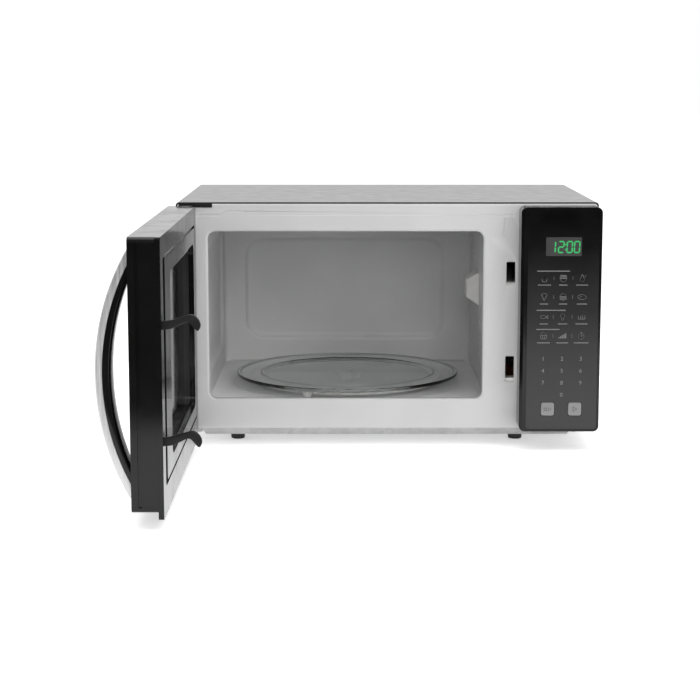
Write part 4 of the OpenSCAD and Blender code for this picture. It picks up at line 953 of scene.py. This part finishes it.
def glyph_digits(name, items, height, y, finish, body="cabinet"):
    """Plain numerals in Blender's own font, as a thin printed mesh."""
    work = bmesh.new()
    for text, x, z in items:
        curve = bpy.data.curves.new("glyph", "FONT")
        curve.body = text
        curve.size = height / 0.7 * MM
        curve.align_x = "CENTER"
        curve.align_y = "CENTER"
        curve.resolution_u = 4
        curve.extrude = INK_T / 2 * MM
        holder = bpy.data.objects.new("glyph", curve)
        bpy.context.scene.collection.objects.link(holder)
        graph = bpy.context.evaluated_depsgraph_get()
        mesh = bpy.data.meshes.new_from_object(holder.evaluated_get(graph))
        bpy.data.objects.remove(holder)
        mesh.transform(Matrix(((1, 0, 0, x * MM), (0, 0, 1, y * MM), (0, 1, 0, z * MM),
                               (0, 0, 0, 1))))
        work.from_mesh(mesh)
        bpy.data.meshes.remove(mesh)
    bmesh.ops.remove_doubles(work, verts=work.verts, dist=0.0005 * MM)
    bmesh.ops.recalc_face_normals(work, faces=work.faces)
    out = bpy.data.meshes.new(name)
    work.to_mesh(out)
    work.free()
    out.materials.clear()
    finish_mesh(name, out, finish, body)


LEGEND_Y = fascia_lo.y - INK_T
COLUMNS = [fascia_x + d for d in (-20, 0, 20)]


def make_keypad():
    rows = [99.6, 86.7, 73.7]
    items = [(str(3 * r + c + 1), COLUMNS[c], rows[r]) for r in range(3) for c in range(3)]
    items.append(("0", COLUMNS[1], 60.7))
    glyph_digits("keypad_numerals", items, 4.3, LEGEND_Y + INK_T / 2, "legend_ink")


make_keypad()


def make_legends():
    """Twelve plain pictograms, the fine lines between them, and a short dash under each."""
    ink = Ink()
    rows = [186.2, 166.0, 144.7, 124.4]
    w = 0.42
    for z in rows:
        for a, b in zip(COLUMNS, COLUMNS[1:]):
            ink.line([((a + b) / 2, z - 1.9), ((a + b) / 2, z + 1.9)], 0.3)
    icons = [corn, sandwich, droplet, slice_of_pie, bun, steak, fish, drumstick, loaf, basket,
             steps, timer]
    for k, icon in enumerate(icons):
        icon(ink, COLUMNS[k % 3], rows[k // 3], w)
    widths = [13, 8, 12, 8, 8, 10, 8, 9, 12, 13, 12, 15]
    for k, width in enumerate(widths):
        x, z = COLUMNS[k % 3], rows[k // 3] - 7.4
        ink.line([(x - width / 2, z), (x + width / 2, z)], 0.9)
    for z, width in ((rows[0] + 7.4, 34), (rows[2] + 7.2, 30), (rows[3] + 7.0, 24)):
        x = COLUMNS[0] - 7.5
        ink.line([(x, z), (x + width, z)], 1.0)
    finish_mesh("panel_legends", ink.mesh("panel_legends", LEGEND_Y), "legend_ink", "cabinet")


def corn(ink, x, z, w):
    for dx, dz, r in ((0, 2.2, 1.3), (-1.9, 1.2, 1.3), (1.9, 1.2, 1.3), (-1.0, -0.2, 1.2),
                      (1.2, -0.2, 1.2)):
        ink.ring(x + dx, z + dz, r, w)
    ink.line([(x - 2.6, z - 1.2), (x - 1.9, z - 4), (x + 1.9, z - 4), (x + 2.6, z - 1.2)], w)


def sandwich(ink, x, z, w):
    for dz, half in ((2.8, 3.0), (1.3, 3.6), (-0.2, 3.6)):
        ink.line([(x - half, z + dz), (x + half, z + dz)], w * 1.6)
    ink.ring(x, z - 0.9, 3.2, w, 180, 360)


def droplet(ink, x, z, w):
    ink.ring(x, z - 1.2, 2.4, w, 130, 410)
    ink.line([(x - 1.55, z + 0.65), (x, z + 4), (x + 1.55, z + 0.65)], w)
    ink.line([(x + 2.6, z + 1.6), (x + 3.6, z + 2.6)], w)


def slice_of_pie(ink, x, z, w):
    ink.line([(x - 3, z + 2.6), (x, z - 3.8), (x + 3, z + 2.6)], w)
    ink.ring(x, z - 0.6, 4.4, w, 48, 132)
    ink.ring(x - 0.8, z + 0.9, 0.7, w)
    ink.ring(x + 1.0, z + 0.2, 0.5, w)


def bun(ink, x, z, w):
    ink.ring(x, z + 0.4, 3.3, w, 0, 180)
    for dz in (0.4, -0.9, -2.2):
        ink.line([(x - 3.4, z + dz), (x + 3.4, z + dz)], w * 1.3)
    ink.ring(x, z - 0.6, 3.0, w, 204, 336)


def steak(ink, x, z, w):
    points = [(x + 4.2 * math.cos(math.radians(a)) * (1 + 0.12 * math.cos(math.radians(2 * a + 40))),
               z + 2.7 * math.sin(math.radians(a))) for a in range(0, 361, 15)]
    ink.line(points, w)
    ink.ring(x + 1.4, z + 0.2, 0.9, w)
    ink.line([(x - 2.4, z - 0.6), (x - 0.4, z + 1.0)], w)


def fish(ink, x, z, w):
    points = [(x - 0.8 + 3.0 * math.cos(math.radians(a)), z + 1.7 * math.sin(math.radians(a)))
              for a in range(0, 361, 20)]
    ink.line(points, w)
    ink.line([(x + 2.2, z), (x + 4.2, z + 1.8), (x + 4.2, z - 1.8), (x + 2.2, z)], w)
    ink.ring(x - 2.4, z + 0.4, 0.25, w)


def drumstick(ink, x, z, w):
    ink.ring(x, z + 1.2, 2.4, w, -60, 240)
    ink.line([(x - 1.2, z - 0.9), (x - 0.6, z - 3.4)], w)
    ink.line([(x + 1.2, z - 0.9), (x + 0.6, z - 3.4)], w)
    ink.ring(x, z - 3.8, 0.8, w, 150, 390)


def loaf(ink, x, z, w):
    ink.ring(x - 1.9, z + 1.0, 1.6, w, 0, 180)
    ink.ring(x + 1.9, z + 1.0, 1.6, w, 0, 180)
    ink.line([(x - 3.5, z + 1.0), (x - 3.5, z - 2.2), (x + 3.5, z - 2.2), (x + 3.5, z + 1.0)], w)
    ink.line([(x - 1.2, z - 1.4), (x - 1.2, z + 0.4)], w)
    ink.line([(x + 1.2, z - 1.4), (x + 1.2, z + 0.4)], w)


def basket(ink, x, z, w):
    ink.line([(x - 3.4, z + 0.8), (x - 2.6, z - 3.2), (x + 2.6, z - 3.2), (x + 3.4, z + 0.8),
              (x - 3.4, z + 0.8)], w)
    ink.ring(x, z + 0.9, 3.0, w, 20, 160)
    ink.line([(x - 1.0, z - 0.3), (x - 1.0, z - 2.2)], w)
    ink.line([(x + 1.0, z - 0.3), (x + 1.0, z - 2.2)], w)


def steps(ink, x, z, w):
    for k in range(5):
        px = x - 3.6 + 1.8 * k
        ink.add([(px - 0.55, z - 2.6), (px + 0.55, z - 2.6), (px + 0.55, z - 1.4 + 1.1 * k),
                 (px - 0.55, z - 1.4 + 1.1 * k)])


def timer(ink, x, z, w):
    ink.ring(x, z - 0.4, 3.1, w)
    ink.line([(x, z - 0.4), (x, z + 1.4)], w)
    ink.line([(x, z - 0.4), (x + 1.3, z + 0.3)], w)
    ink.line([(x - 0.9, z + 3.6), (x + 0.9, z + 3.6)], w)


make_legends()


def make_keys():
    """Cushioned square caps with a pictogram, in place of the two plain caps."""
    for node, body, name in (("key_stop", "stop_key", "stop_cap"),
                             ("key_start", "start_key", "start_cap")):
        lo, hi = box_mm(node)
        cx, cz = (lo.x + hi.x) / 2, (lo.z + hi.z) / 2
        half = (hi.x - lo.x) / 2
        rings = []
        for inset, depth in ((0.0, 2.8), (0.0, 0.75), (0.12, 0.42), (0.35, 0.2), (0.75, 0.07),
                             (1.6, 0.02), (3.2, 0.03), (5.6, 0.06)):
            r = max(2.4 - inset * 0.35, 0.8)
            rings.append([(cx + px, lo.y + depth, cz + pz)
                          for px, pz in rrect(-half + inset, half - inset, -half + inset,
                                              half - inset, min(r, half - inset - 0.01), 6)])
        points, faces = loft(rings)
        p, f = lathe([(2.45, 2.6), (2.5, 2.7), (2.5, hi.y - lo.y - 0.3), (2.2, hi.y - lo.y)],
                     (cx, lo.y, cz), 24, "Y")
        faces += [tuple(i + len(points) for i in face) for face in f]
        points += p
        piece = finish_mesh(name, mesh_from(name, points, faces), "key_plastic", body,
                            sharp=40)
        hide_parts(node)
        ink = Ink()
        if body == "start_key":
            ink.line([(cx - 1.9, cz - 2.4), (cx - 1.9, cz + 2.4), (cx + 2.3, cz),
                      (cx - 1.9, cz - 2.4)], 0.6)
        else:
            ink.line([(cx - 3.6, cz - 1.5), (cx - 0.8, cz - 1.5), (cx - 0.8, cz + 1.3),
                      (cx - 3.6, cz + 1.3), (cx - 3.6, cz - 1.5)], 0.55)
            ink.line([(cx + 1.2, cz - 1.5), (cx + 1.2, cz + 1.3)], 0.55)
            ink.line([(cx + 3.2, cz - 1.5), (cx + 3.2, cz + 1.3)], 0.55)
        finish_mesh(name + "_mark", ink.mesh(name + "_mark", lo.y - 0.03), "key_ink", body)


make_keys()

# ---- Small visible pieces ------------------------------------------------------------------


def make_feet():
    hi = box_mm("feet")[1]
    r = 8.4
    top = base_z - PAN_DEPTH
    points, faces = [], []
    for x in (left + 62, right - 83):
        for y in (front + 38, back - 40):
            profile = [(0.01, 0.0), (r - 2.4, 0.0), (r - 1.4, 0.25), (r - 0.8, 1.0),
                       (r - 0.7, top * 0.45), (r - 0.45, top * 0.5), (r - 0.45, top * 0.62),
                       (r - 0.1, top * 0.68), (r, top - 0.9), (r - 0.3, top - 0.3),
                       (r - 0.9, top - 0.05), (3.0, top - 0.05), (3.0, hi.z), (0.01, hi.z)]
            p, f = lathe(profile, (x, y, 0), 40)
            faces += [tuple(i + len(points) for i in face) for face in f]
            points += p
    piece = finish_mesh("rubber_feet", mesh_from("rubber_feet", points, faces), "foot_rubber",
                        "cabinet")
    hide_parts("feet")


make_feet()

for _node, _width in (("door_bezel", 1.0), ("choke_cover", 0.5), ("control_housing", 0.6),
                      ("upper_hinge_bracket", 0.35), ("waveguide_cover", 0.8),
                      ("turntable_coupler", 0.3), ("roller_ring", 0.3), ("base_plate", 0.6),
                      ("door_glass", 0.4), ("cord_gland", 0.4)):
    soften(_node, _width)
